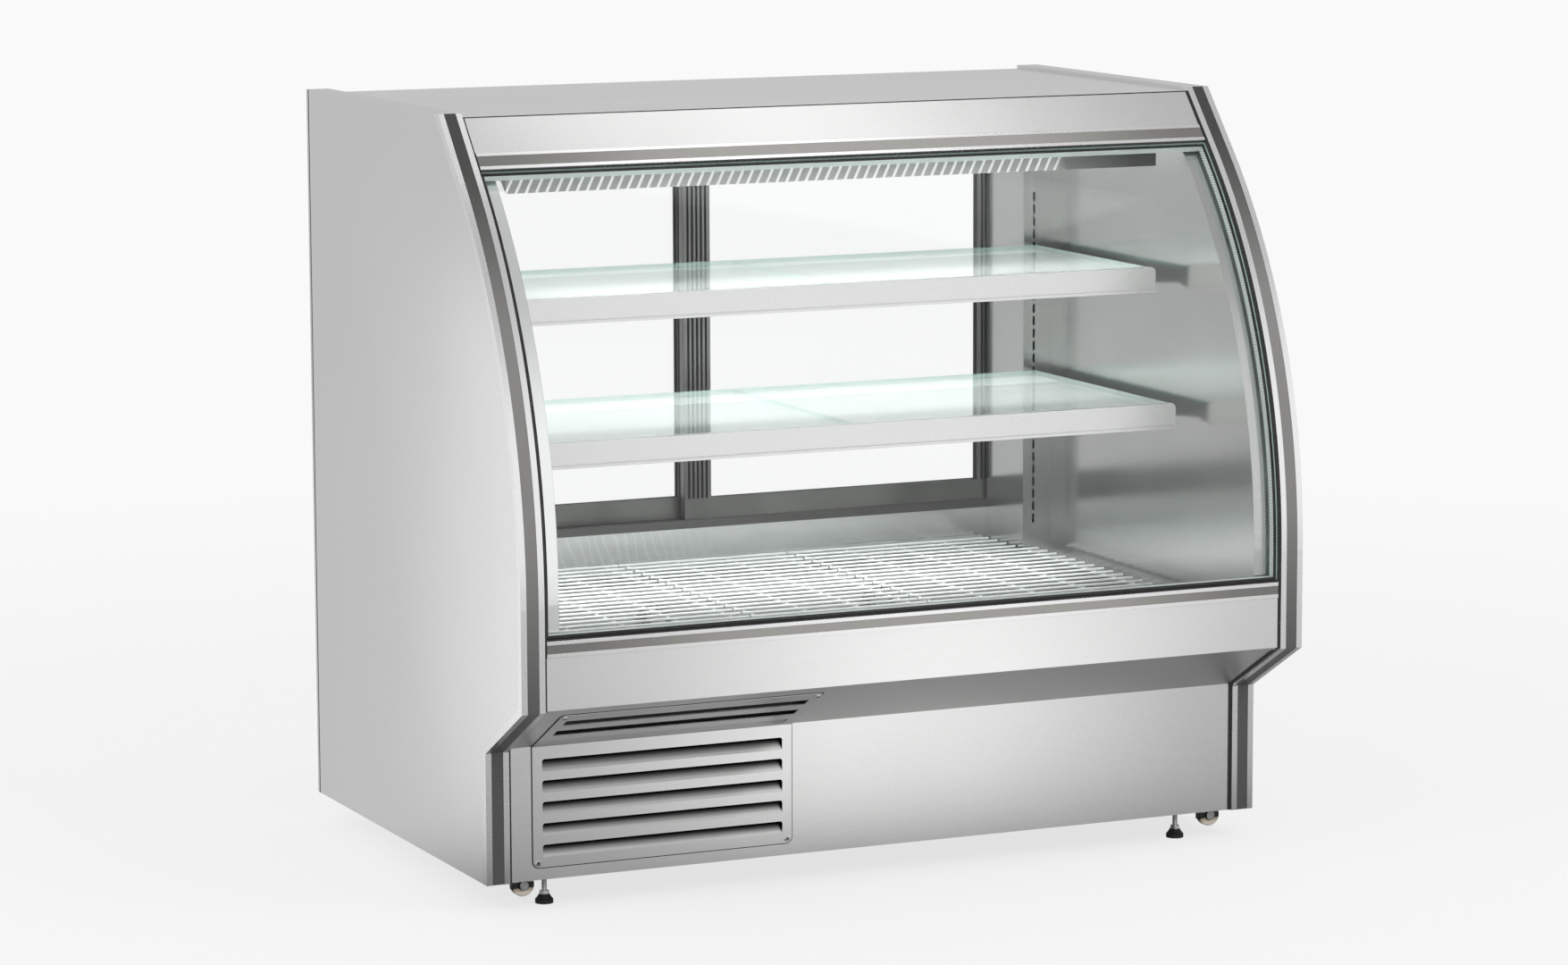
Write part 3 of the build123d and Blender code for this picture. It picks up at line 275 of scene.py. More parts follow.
def upright_tangent(tree):
    """Tangent that stretches the reflections of the front sheets up and down"""
    made = add_node(tree, "ShaderNodeCombineXYZ")
    return fill(tree, made, X=0.0, Y=0.3, Z=0.95).outputs[0]


def new_material(name):
    material = bpy.data.materials.new(name)
    material.use_nodes = True
    tree = material.node_tree
    tree.nodes.clear()
    output = add_node(tree, "ShaderNodeOutputMaterial")
    return material, tree, output


def principled(tree, output, **sockets):
    shader = add_node(tree, "ShaderNodeBsdfPrincipled")
    fill(tree, shader, **sockets)
    tree.links.new(shader.outputs[0], output.inputs["Surface"])
    return shader


# Materials

ALONG_X = (0.02, 1, 1)
ALONG_Z = (1, 1, 0.02)
EVEN = (1, 1, 1)
FRONT_STRETCH = 0.75


def brushed_metal(name, dark, light, rough, grain=ALONG_X, cloud_scale=4.0, lines=0.03, metallic=1.0,
                  stretched=False, edge=0.0, seam_shade=False):
    """Sheet metal with a fine grain and soft clouds. Stretched, its reflections run over the grain; with a
    seam shade, the end panels' outer faces carry a dark line of painted shade for a seam gap."""
    material, tree, output = new_material(name)
    clouds = noise(tree, cloud_scale, detail=2.0)
    grain_lines = noise(tree, 900.0, stretch=grain, detail=2.0)
    speckle = speckles(tree)
    pattern = weighted(tree, grain_lines, 0.2, clouds, 0.3)
    pattern = value_math(tree, "MULTIPLY_ADD", speckle, 0.5, pattern)
    colour = mottled(tree, pattern, dark, light)
    # Painted shade: a near black line for the seam gap on the end panels' outer faces
    if seam_shade:
        place = place_parts(tree)
        seam_shade_band = between(tree, place["Y"], END_SEAM_SHADE[0], END_SEAM_SHADE[1])
        outer = above(tree, size_of(tree, place["X"]), END_FACE)
        colour = mix_colour(tree, product(tree, seam_shade_band, outer), colour, (0.03, 0.03, 0.03))
    roughness = shine(tree, clouds, rough - 0.02, rough + 0.02)
    roughness = value_math(tree, "MULTIPLY_ADD", speckle, 0.05, roughness)
    normal = bump(tree, grain_lines, lines, 0.0004, soft_edges(tree, edge) if edge else None)
    shader = principled(tree, output, Base_Color=colour, Metallic=metallic, Roughness=roughness,
                        Normal=normal)
    if stretched:
        fill(tree, shader, Anisotropic=FRONT_STRETCH, Tangent=upright_tangent(tree))
    return material


def liner_metal(name, dark, light, painted_pale_return=False, painted_reflection_streaks=False, painted_slot_shade=False):
    """Mirror-like lining that may carry a painted reflection on its left front return, painted reflection
    streaks where it mirrors the light channel, or painted shade behind the slots of the standards"""
    material, tree, output = new_material(name)
    place = place_parts(tree)
    clouds = noise(tree, 5.0, detail=2.0)
    colour = mottled(tree, weighted(tree, speckles(tree), 0.5, clouds, 0.5), dark, light)
    if painted_pale_return:
        # Painted reflection: the left front return of the mirror-like liner is near white
        outer = below(tree, place["X"], -LINER_RETURN)
        colour = mix_colour(tree, outer, colour, (0.95, 0.96, 0.95))
    forward = below(tree, facing_parts(tree)["Y"], -0.5)
    if painted_reflection_streaks:
        # Painted reflection: slanted bright streaks where the wall would mirror the diodes of the light
        # channel
        sway = value_math(tree, "MULTIPLY_ADD", noise(tree, 22.0, detail=1.0), 0.02, place["X"])
        wave = ripple(tree, value_math(tree, "MULTIPLY_ADD", place["Z"], 0.3, sway), STRIPE_PITCH)
        fade = spread(tree, place["X"], -0.15, 0.1, 1.0, 0.0, smooth=True)
        painted_streak_share = product(tree, spread(tree, wave, 0.5, 1.0), fade, forward)
        colour = mix_colour(tree, painted_streak_share, colour, (1.0, 1.0, 1.0))
    # Painted shade: the forward faces of the standards are near black for the dark behind their slots
    if painted_slot_shade:
        colour = mix_colour(tree, forward, colour, (0.01, 0.01, 0.01))
    principled(tree, output, Base_Color=colour, Metallic=0.9, Roughness=shine(tree, clouds, 0.15, 0.19))
    return material


def door_metal(name, front):
    """Dark anodised door frame, with painted shade that blackens the grooves of its front face"""
    material, tree, output = new_material(name)
    grain = noise(tree, 900.0, stretch=ALONG_Z, detail=2.0)
    clouds = noise(tree, 7.0, detail=2.0)
    colour = mottled(tree, clouds, (0.19, 0.185, 0.18), (0.28, 0.275, 0.265))
    # Painted shade: the grooves of the front face are near black
    groove_shade = between(tree, place_parts(tree)["Y"], front + DOOR_GROOVE_SHADE[0], front + DOOR_GROOVE_SHADE[1])
    not_rear = below(tree, facing_parts(tree)["Y"], 0.5)
    colour = mix_colour(tree, product(tree, groove_shade, not_rear), colour, (0.012, 0.012, 0.012))
    principled(tree, output, Base_Color=colour, Metallic=0.7, Roughness=shine(tree, clouds, 0.28, 0.34),
               Normal=bump(tree, grain, 0.03, 0.0004))
    return material


def fold_shade_metal(name, node):
    """Front steel of the fascia with painted shade for the fold gap along its top edge"""
    material, tree, output = new_material(name)
    speckle = speckles(tree)
    pattern = weighted(tree, speckle, 0.6, noise(tree, 4.0, detail=2.0), 0.4)
    steel = mottled(tree, pattern, (0.82, 0.815, 0.81), (0.9, 0.895, 0.89))
    # Painted shade: a near black line for the fold gap along the top edge
    fold_shade = above(tree, place_parts(tree)["Z"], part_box(node)[1].z - FOLD_GAP_SHADE)
    principled(tree, output, Base_Color=mix_colour(tree, fold_shade, steel, (0.05, 0.05, 0.05)), Metallic=1.0,
               Roughness=shine(tree, speckle, 0.29, 0.34), Anisotropic=FRONT_STRETCH,
               Tangent=upright_tangent(tree))
    return material


def grille_metal(name):
    """Front steel whose louvres carry painted shade that darkens towards the inside of their slots"""
    material, tree, output = new_material(name)
    place = place_parts(tree)
    speckle = speckles(tree)
    steel = mix_colour(tree, speckle, (0.78, 0.775, 0.77), (0.88, 0.875, 0.87))
    # Painted shade: the louvre blades blacken with depth into their slots
    painted_louvre_shade = spread(tree, place["Y"], GRILLE_FACE + LOUVRE_SHADE[0], GRILLE_FACE + LOUVRE_SHADE[1])
    painted_louvre_shade = product(tree, painted_louvre_shade, below(tree, place["Z"], KNEE_Z - 0.004))
    painted_louvre_shade = value_math(tree, "POWER", painted_louvre_shade, 0.7)
    colour = mix_colour(tree, painted_louvre_shade, steel, (0.012, 0.012, 0.012))
    principled(tree, output, Base_Color=colour, Metallic=1.0, Roughness=shine(tree, speckle, 0.28, 0.34),
               Anisotropic=FRONT_STRETCH, Tangent=upright_tangent(tree))
    return material


def galvanised(name):
    """Zinc spangle with dull patches"""
    material, tree, output = new_material(name)
    cells = add_node(tree, "ShaderNodeTexVoronoi")
    fill(tree, cells, Vector=scaled_place(tree), Scale=90.0)
    tone = add_node(tree, "ShaderNodeSeparateColor")
    fill(tree, tone, Color=cells.outputs["Color"])
    share = weighted(tree, tone.outputs[0], 0.5, noise(tree, 14.0, detail=4.0), 0.5)
    colour = mix_colour(tree, share, (0.42, 0.43, 0.44), (0.66, 0.67, 0.68))
    principled(tree, output, Base_Color=colour, Metallic=1.0, Normal=bump(tree, tone.outputs[0], 0.1, 0.0003),
               Roughness=spread(tree, share, 0.2, 0.8, 0.3, 0.5))
    return material


def moulded(name, dark, light, rough, coat=0.0):
    """Plastic, rubber or paint with a fine moulded grain and slight patches"""
    material, tree, output = new_material(name)
    grain = noise(tree, 700.0, detail=2.0)
    patches = noise(tree, 18.0, detail=4.0)
    share = spread(tree, weighted(tree, grain, 0.3, patches, 0.7), 0.3, 0.7)
    principled(tree, output, Base_Color=mix_colour(tree, share, dark, light), Coat_Weight=coat,
               Roughness=shine(tree, patches, rough - 0.05, rough + 0.07),
               Normal=bump(tree, grain, 0.12, 0.0003))
    return material


def trim_insert(name):
    """Satin strip set into the trim, with painted sheen and shade: near black at the top, grey lower down,
    warmer and paler in bars
    """
    material, tree, output = new_material(name)
    place = place_parts(tree)
    from_middle = size_of(tree, place["X"])
    # Painted sheen and shade: the tone follows height on the uprights and distance from the middle on the
    # bars
    down = spread(tree, place["Z"], 1.16, 0.85, smooth=True)
    upright = mix_colour(tree, down, (0.045, 0.045, 0.043), (0.22, 0.215, 0.21))
    foot = spread(tree, place["Z"], 0.62, 0.28, smooth=True)
    upright = mix_colour(tree, foot, upright, (0.085, 0.084, 0.082))
    outward = spread(tree, from_middle, 0.25, 0.62, smooth=True)
    bar = mix_colour(tree, outward, (0.35, 0.338, 0.318), (0.17, 0.165, 0.155))
    tone_with_painted_sheen = mix_colour(tree, below(tree, from_middle, TRIM_START), upright, bar)
    grain = noise(tree, 800.0, detail=2.0)
    lighter = mix_colour(tree, 0.035, tone_with_painted_sheen, (1.0, 1.0, 1.0))
    principled(tree, output, Base_Color=mix_colour(tree, spread(tree, grain, 0.45, 0.75), tone_with_painted_sheen, lighter),
               Metallic=0.25, Roughness=shine(tree, noise(tree, 30.0), 0.34, 0.44),
               Normal=bump(tree, grain, 0.05, 0.0003))
    return material


def foam(name):
    """Closed cells of dark rigid foam"""
    material, tree, output = new_material(name)
    cells = add_node(tree, "ShaderNodeTexVoronoi")
    fill(tree, cells, Vector=scaled_place(tree), Scale=260.0)
    cell = cells.outputs["Distance"]
    colour = mix_colour(tree, spread(tree, cell, 0.1, 0.7), (0.07, 0.07, 0.068), (0.022, 0.022, 0.022))
    principled(tree, output, Base_Color=colour, Roughness=0.85, Normal=bump(tree, cell, 0.4, 0.0008))
    return material


def glass(name, tint, edge_dark, edge_light, normal_low, normal_high, mirror_share, milk=0.0):
    """Thin clear sheet with bright green cut edges and a share of milky haze. It mirrors a share of the light
    when seen straight on, and nearly all of it at a flat angle. Faces whose upward normal share lies outside
    the two limits are the cut edges, and so are the ends."""
    material, tree, output = new_material(name)
    facing = facing_parts(tree)
    upward = size_of(tree, facing["Z"])
    ends = above(tree, size_of(tree, facing["X"]), 0.7)
    edge = largest(tree, ends, below(tree, upward, normal_low), above(tree, upward, normal_high))
    film = noise(tree, 3.0, detail=5.0, roughness=0.6)
    clear = add_node(tree, "ShaderNodeBsdfTransparent")
    through = fill(tree, clear, Color=tint).outputs[0]
    if milk:
        haze = add_node(tree, "ShaderNodeBsdfDiffuse")
        fill(tree, haze, Color=(0.925, 0.985, 0.97))
        milky = spread(tree, film, 0.3, 0.7, milk - 0.05, milk + 0.05)
        through = mix_shader(tree, milky, through, haze.outputs[0])
    mirror = add_node(tree, "ShaderNodeBsdfAnisotropic")
    fill(tree, mirror, Color=(0.96, 1.0, 0.985), Roughness=shine(tree, film, 0.0, 0.03))
    flat = add_node(tree, "ShaderNodeLayerWeight")
    fill(tree, flat, Blend=0.5)
    steep = value_math(tree, "POWER", flat.outputs["Facing"], 5.0)
    mirrored = value_math(tree, "MULTIPLY_ADD", steep, 0.96 - mirror_share, mirror_share)
    sheet = mix_shader(tree, mirrored, through, mirror.outputs[0])
    cut = add_node(tree, "ShaderNodeBsdfPrincipled")
    fill(tree, cut, Base_Color=mix_colour(tree, film, edge_dark, edge_light), Roughness=0.15)
    tree.links.new(mix_shader(tree, edge, sheet, cut.outputs[0]), output.inputs["Surface"])
    return material


def light_channel(name):
    """Channel of the case light: a pale front face with slanted painted reflection stripes, bright and
    glowing though the channel is no lamp, that end short of its right end, where it turns dark"""
    material, tree, output = new_material(name)
    x, y, z = place_parts(tree)
    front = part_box("led_light")[0].y
    slanted = value_math(tree, "MULTIPLY_ADD", z, -STRIPE_SLANT, x)
    turn = value_math(tree, "FRACT", value_math(tree, "DIVIDE", slanted, STRIPE_PITCH))
    centred = size_of(tree, value_math(tree, "SUBTRACT", turn, 0.5))
    striped = spread(tree, x, STRIPE_END, STRIPE_END + 0.02, 1.0, 0.0)
    on_front = below(tree, y, front + 0.002)
    # Painted reflection of the diodes as slanted bright stripes, which also glow
    painted_stripe = product(tree, spread(tree, centred, 0.10, 0.15, 1.0, 0.0), striped, on_front)
    speckle = noise(tree, 500.0, detail=2.0)
    pale = mix_colour(tree, speckle, (0.54, 0.55, 0.53), (0.62, 0.63, 0.61))
    dark_end = mix_colour(tree, spread(tree, x, 0.38, 0.52), (0.3, 0.3, 0.29), (0.06, 0.062, 0.058))
    ground = mix_colour(tree, on_front, (0.55, 0.55, 0.55), dark_end)
    ground = mix_colour(tree, product(tree, striped, on_front), ground, pale)
    principled(tree, output, Base_Color=mix_colour(tree, painted_stripe, ground, (0.95, 0.97, 0.96)),
               Roughness=shine(tree, speckle, 0.28, 0.36), Emission_Color=(1.0, 1.0, 1.0),
               Emission_Strength=product(tree, painted_stripe, 0.35))
    return material


def spacer_band(name):
    """Spacer bar between the panes: dark towards the outside, pale with rows of vent dots in the gap"""
    material, tree, output = new_material(name)
    place = place_parts(tree)
    wave = ripple(tree, value_math(tree, "ADD", place["X"], place["Z"]), VENT_PITCH)
    inside = mix_colour(tree, spread(tree, wave, 0.1, 0.7), (0.86, 0.93, 0.9), (0.4, 0.46, 0.43))
    facing = facing_parts(tree)
    outward = product(tree, below(tree, facing["Y"], -0.5), above(tree, facing["Z"], -0.4))
    colour = mix_colour(tree, outward, inside, (0.02, 0.02, 0.02))
    principled(tree, output, Base_Color=colour, Roughness=shine(tree, noise(tree, 60.0), 0.3, 0.4))
    return material


def diffuser_glow(name):
    """Milky diffuser with a soft glow that fades a little between the diodes"""
    material, tree, output = new_material(name)
    wave = ripple(tree, place_parts(tree)["X"], STRIPE_PITCH)
    colour = mix_colour(tree, spread(tree, wave, -1.0, 1.0), (0.86, 0.93, 0.95), (1.0, 1.0, 1.0))
    principled(tree, output, Base_Color=colour, Roughness=0.4, Emission_Color=colour,
               Emission_Strength=1.6)
    return material


def foot_material(name):
    """Black rubber pad below, bright threaded stem and nut above"""
    material, tree, output = new_material(name)
    z = place_parts(tree)["Z"]
    grain = noise(tree, 500.0, detail=2.0)
    rubber = add_node(tree, "ShaderNodeBsdfPrincipled")
    fill(tree, rubber, Base_Color=mix_colour(tree, grain, (0.012, 0.012, 0.012), (0.03, 0.03, 0.03)),
         Roughness=shine(tree, grain, 0.38, 0.5), Normal=bump(tree, grain, 0.15, 0.0004))
    bright = add_node(tree, "ShaderNodeBsdfPrincipled")
    fill(tree, bright, Base_Color=mix_colour(tree, grain, (0.6, 0.59, 0.57), (0.85, 0.84, 0.82)),
         Metallic=1.0, Roughness=0.2, Normal=bump(tree, ripple(tree, z, THREAD_PITCH), 0.3, 0.0006))
    metal = above(tree, z, FOOT_PAD_TOP)
    tree.links.new(mix_shader(tree, metal, rubber.outputs[0], bright.outputs[0]), output.inputs["Surface"])
    return material


def roller_material(name):
    """Beige nylon wheel with a darker ring round its near black hub, by the distance from its axle"""
    material, tree, output = new_material(name)
    place = place_parts(tree)
    front_low, front_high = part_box("roller_front_left")
    rear_low, rear_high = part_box("roller_rear_left")
    front = (front_low + front_high) / 2
    rear = (rear_low + rear_high) / 2
    radius = (front_high.z - front_low.z) / 2
    from_middle = size_of(tree, value_math(tree, "SUBTRACT", place["Y"], (front.y + rear.y) / 2))
    along = value_math(tree, "SUBTRACT", from_middle, (rear.y - front.y) / 2)
    rise = value_math(tree, "SUBTRACT", place["Z"], front.z)
    squares = value_math(tree, "MULTIPLY_ADD", along, along, product(tree, rise, rise))
    part = value_math(tree, "DIVIDE", value_math(tree, "SQRT", squares), radius)
    grain = noise(tree, 400.0, detail=2.0)
    beige = mix_colour(tree, grain, (0.55, 0.49, 0.4), (0.68, 0.62, 0.53))
    beige = mix_colour(tree, spread(tree, part, 0.62, 0.68), (0.42, 0.35, 0.26), beige)
    colour = mix_colour(tree, spread(tree, part, 0.48, 0.5), (0.02, 0.019, 0.018), beige)
    principled(tree, output, Base_Color=colour, Roughness=shine(tree, grain, 0.3, 0.42),
               Normal=bump(tree, grain, 0.1, 0.0003))
    return material


# Near black for pieces that are painted shade in gaps and recesses
SHADE_BLACK_MATERIAL = moulded("painted_shade_black", (0.01, 0.01, 0.01), (0.02, 0.02, 0.02), 0.6)

MATERIALS = {
    "side_steel": brushed_metal("satin_side", (0.79, 0.79, 0.79), (0.84, 0.84, 0.84), 0.36, grain=ALONG_Z,
                                cloud_scale=2.4, lines=0.02, seam_shade=True),
    "front_steel": brushed_metal("brushed_front", (0.82, 0.815, 0.81), (0.9, 0.895, 0.89), 0.3,
                                 stretched=True),
    "liner_steel": liner_metal("liner", (0.54, 0.545, 0.535), (0.61, 0.615, 0.605), painted_pale_return=True),
    "shelf_steel": brushed_metal("shelf_metal", (0.84, 0.84, 0.83), (0.92, 0.92, 0.91), 0.32,
                                 metallic=0.8),
    "trim_aluminium": brushed_metal("satin_trim", (0.87, 0.87, 0.87), (0.92, 0.92, 0.92), 0.25,
                                    grain=(0.5, 0.5, 0.5), lines=0.02, edge=0.0008),
    "spacer_aluminium": spacer_band("spacer"),
    "light_aluminium": light_channel("light_channel"),
    "cowl_aluminium": brushed_metal("cowl", (0.6, 0.6, 0.6), (0.78, 0.78, 0.78), 0.36),
    "coil_fins": brushed_metal("coil_fins", (0.5, 0.5, 0.5), (0.75, 0.75, 0.75), 0.4,
                               grain=(1, 0.02, 0.02), lines=0.5),
    "copper": brushed_metal("copper", (0.5, 0.22, 0.13), (0.86, 0.5, 0.35), 0.28, grain=EVEN,
                            cloud_scale=30.0),
    "bright_fastener": brushed_metal("bright_fastener", (0.62, 0.62, 0.62), (0.86, 0.86, 0.86), 0.16,
                                     grain=EVEN),
    "dark_aluminium": brushed_metal("dark_anodised", (0.13, 0.125, 0.12), (0.19, 0.185, 0.18), 0.3,
                                    grain=ALONG_Z, metallic=0.7),
    "galvanised_steel": galvanised("galvanised"),
    "dark_insert": trim_insert("dark_insert"),
    "black_gasket": moulded("black_gasket", (0.012, 0.012, 0.012), (0.025, 0.025, 0.025), 0.5),
    "black_plastic": moulded("black_plastic", (0.02, 0.02, 0.021), (0.035, 0.035, 0.036), 0.42),
    "black_shell": moulded("black_shell", (0.012, 0.012, 0.013), (0.03, 0.03, 0.032), 0.3, coat=0.5),
    "foot_rubber": foot_material("foot_rubber"),
    "roller_nylon": roller_material("roller_nylon"),
    "white_wire": moulded("white_coating", (0.86, 0.88, 0.88), (0.94, 0.95, 0.95), 0.3, coat=0.4),
    "foam": foam("foam"),
    "clear_glass": glass("clear_glass", (0.998, 0.999, 0.9988), (0.42, 0.6, 0.54), (0.66, 0.8, 0.74),
                         -1.0, 0.7, 0.008),
    "shelf_glass": glass("shelf_glass", (0.982, 0.996, 0.991), (0.55, 0.88, 0.78), (0.8, 1.0, 0.94),
                         0.5, 2.0, 0.04, milk=0.3),
}

# Nodes whose finish differs from the rest of their slot
NODE_MATERIALS = {
    "front_grille": grille_metal("grille_steel"),
    "canopy_fascia": fold_shade_metal("fascia_steel", "canopy_fascia"),
    "corner_columns": liner_metal("column_steel", (0.58, 0.585, 0.58), (0.64, 0.645, 0.64), painted_slot_shade=True),
    "tank_liner": liner_metal("pale_liner", (0.74, 0.745, 0.735), (0.81, 0.815, 0.805)),
    "rear_header": liner_metal("header_steel", (0.86, 0.865, 0.855), (0.92, 0.925, 0.915)),
    "rear_wall": liner_metal("rear_wall_steel", (0.86, 0.865, 0.855), (0.92, 0.925, 0.915), painted_reflection_streaks=True),
    "door_left_frame": door_metal("door_left_anodised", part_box("door_left_frame")[0].y),
    "door_right_frame": door_metal("door_right_anodised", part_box("door_right_frame")[0].y),
}


def dress_nodes():
    """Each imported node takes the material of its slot, or its own where one is named"""
    for row in frame["record"]["subparts"]:
        node = nodes[row["node"]]
        if not node.material_slots:
            node.data.materials.append(MATERIALS[row["material_slot"]])
        for slot in node.material_slots:
            slot.material = NODE_MATERIALS.get(row["node"], MATERIALS[row["material_slot"]])


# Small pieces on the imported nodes

DIFFUSER_MARGIN = 0.012
DIFFUSER_NEAR = 0.004
DIFFUSER_FAR = 0.03
DIFFUSER_THICKNESS = 0.0008
DIFFUSER_STEPS = 60
SEAM_WIDTH = 0.0015
SEAM_RISE = 0.0004
SEAM_LIFT = 0.00005
SEAM_CORNER_STEPS = 8
KNEE_SHIFT = 0.0002
SCREW_MARGIN = 0.008
SCREW_BOTTOM = 0.007
SCREW_TOP_RUN = 0.0446
SCREW_HEAD = 0.002
CROSS_ARM = 0.0029
CROSS_HALF_WIDTH = 0.000754
CROSS_DEPTHS = (-0.0002, 0.00015)
CROSS_TURN = math.radians(28)


def add_piece(name, form, material, body="case"):
    bmesh.ops.recalc_face_normals(form, faces=form.faces)
    mesh = bpy.data.meshes.new(name)
    form.normal_update()
    form.to_mesh(mesh)
    form.free()
    piece = bpy.data.objects.new(name, mesh)
    mesh.materials.append(material)
    scene.collection.objects.link(piece)
    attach(piece, body)


def bridge(form, start, end):
    """Faces between two rings with the same number of points"""
    for side in range(len(start)):
        after = (side + 1) % len(start)
        form.faces.new((start[side], start[after], end[after], end[side]))


def close_ends(form, rings):
    form.faces.new(list(reversed(rings[0])))
    form.faces.new(rings[-1])


def solid_strip(form, crossings):
    """Four-sided strip through crossings, each with a near point, a far point and its thickness"""
    rings = []
    for near, far, rise in crossings:
        rings.append([form.verts.new(point) for point in (near, far, far + rise, near + rise)])
    for start, end in zip(rings, rings[1:]):
        bridge(form, start, end)
    return rings


def make_diffuser():
    """Glowing cover along the lower opening of the light channel"""
    low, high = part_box("led_light")
    start = low.x + DIFFUSER_MARGIN
    length = high.x - DIFFUSER_MARGIN - start
    slope = (high.z - low.z) / 2 / (high.y - low.y)
    down = Vector((0, -slope, -1)).normalized() * DIFFUSER_THICKNESS
    z = low.z - DIFFUSER_THICKNESS
    crossings = []
    for step in range(DIFFUSER_STEPS + 1):
        x = start + length * step / DIFFUSER_STEPS
        near = Vector((x, low.y + DIFFUSER_NEAR, z + DIFFUSER_NEAR * slope))
        far = Vector((x, low.y + DIFFUSER_FAR, z + DIFFUSER_FAR * slope))
        crossings.append((near, far, down))
    form = bmesh.new()
    close_ends(form, solid_strip(form, crossings))
    add_piece("led_diffuser", form, diffuser_glow("diffuser"))


def knee_run(inset):
    """Run from the nose to the knee, for a sheet that lies this far inside the front"""
    return (KNEE_SETBACK + (1 + UNDER_OUT.y) * inset) / UNDER_RUN.y


def front_sheet_point(x, run, inset):
    """Place and outward direction at a run down the front sheet, under the nose and then down the base"""
    bend = knee_run(inset)
    if run <= bend:
        return NOSE + UNDER_RUN * run - UNDER_OUT * inset + Vector((x, 0, 0)), UNDER_OUT
    knee = NOSE + UNDER_RUN * bend - UNDER_OUT * inset
    return Vector((x, BASE_FACE + inset, knee.z - (run - bend))), Vector((0, -1, 0))


def seam_corner(x, run, inset, turn):
    """Crossings round a corner of the seam, a quarter circle that starts at an angle in degrees"""
    crossings = []
    for step in range(SEAM_CORNER_STEPS + 1):
        angle = math.radians(turn + 90 * step / SEAM_CORNER_STEPS)
        ends = []
        for radius in (GRILLE_CORNER, GRILLE_CORNER + SEAM_WIDTH):
            place, out = front_sheet_point(x + radius * math.cos(angle), run + radius * math.sin(angle),
                                           inset)
            ends.append(place)
        crossings.append((ends[0], ends[1], out * SEAM_RISE))
    return crossings


def seam_knee(x, side, inset, shifts):
    """Crossings just before and just after the knee, on one side of the seam"""
    crossings = []
    for shift in shifts:
        place, out = front_sheet_point(x, knee_run(inset) + shift, inset)
        crossings.append((place, place + Vector((side * SEAM_WIDTH, 0, 0)), out * SEAM_RISE))
    return crossings


def make_grille_gap_shade():
    """Dark strip of painted shade for the gap round the louvred sheet, with rounded corners"""
    inset = PANEL_INSET - SEAM_LIFT
    bend = knee_run(inset)
    knee_z = front_sheet_point(0, bend, inset)[0].z
    low_run = bend + knee_z - GRILLE_BOTTOM - GRILLE_CORNER
    high_run = GRILLE_TOP_RUN + GRILLE_CORNER
    left, right = GRILLE_SIDES
    crossings = seam_corner(left + GRILLE_CORNER, low_run, inset, 90)
    crossings += seam_knee(left, -1, inset, (KNEE_SHIFT, -KNEE_SHIFT))
    crossings += seam_corner(left + GRILLE_CORNER, high_run, inset, 180)
    crossings += seam_corner(right - GRILLE_CORNER, high_run, inset, 270)
    crossings += seam_knee(right, 1, inset, (-KNEE_SHIFT, KNEE_SHIFT))
    crossings += seam_corner(right - GRILLE_CORNER, low_run, inset, 0)
    form = bmesh.new()
    rings = solid_strip(form, crossings)
    bridge(form, rings[-1], rings[0])
    add_piece("grille_gap_shade", form, SHADE_BLACK_MATERIAL)


def make_cross_recess_shade(name, centre, out):
    """Dark cross in the head of a screw, painted shade for its recess"""
    along = Vector((1, 0, 0))
    across = out.cross(along).normalized()
    arm = CROSS_ARM
    half = CROSS_HALF_WIDTH
    shape = ((arm, half), (half, half), (half, arm), (-half, arm), (-half, half), (-arm, half),
             (-arm, -half), (-half, -half), (-half, -arm), (half, -arm), (half, -half), (arm, -half))
    cos = math.cos(CROSS_TURN)
    sin = math.sin(CROSS_TURN)
    form = bmesh.new()
    rings = []
    for depth in CROSS_DEPTHS:
        middle = centre + out * depth
        rings.append([form.verts.new(middle + along * (u * cos - v * sin) + across * (u * sin + v * cos))
                      for u, v in shape])
    bridge(form, rings[0], rings[1])
    close_ends(form, rings)
    add_piece(name, form, SHADE_BLACK_MATERIAL)


def make_screw_details():
    left, right = GRILLE_SIDES
    for side, x in (("left", left + SCREW_MARGIN), ("right", right - SCREW_MARGIN)):
        low = Vector((x, GRILLE_FACE - SCREW_HEAD, GRILLE_BOTTOM + SCREW_BOTTOM))
        make_cross_recess_shade(f"screw_cross_shade_low_{side}", low, Vector((0, -1, 0)))
        place, out = front_sheet_point(x, SCREW_TOP_RUN, GRILLE_INSET)
        make_cross_recess_shade(f"screw_cross_shade_high_{side}", place + out * SCREW_HEAD, out)


# Studio

BACKDROP = 0.95
AMBIENT = 0.72
MIRRORED_REAR = 0.62
MIRRORED_FRONT = 0.95
MIRRORED_ABOVE = 0.48
MIRRORED_PAINTED_SHADOW = 0.03
MIRRORED_SHARE = 0.85
BAND_SLOPE = 0.4515
BAND_SHIFT = 0.108
BAND_DARK = 0.26
PAINTED_BAND_BRIGHT = 1.3
FLOOR_RADIUS = 9.0


def seen_directly(tree, path):
    return largest(tree, path["Is Camera Ray"], path["Is Transmission Ray"])


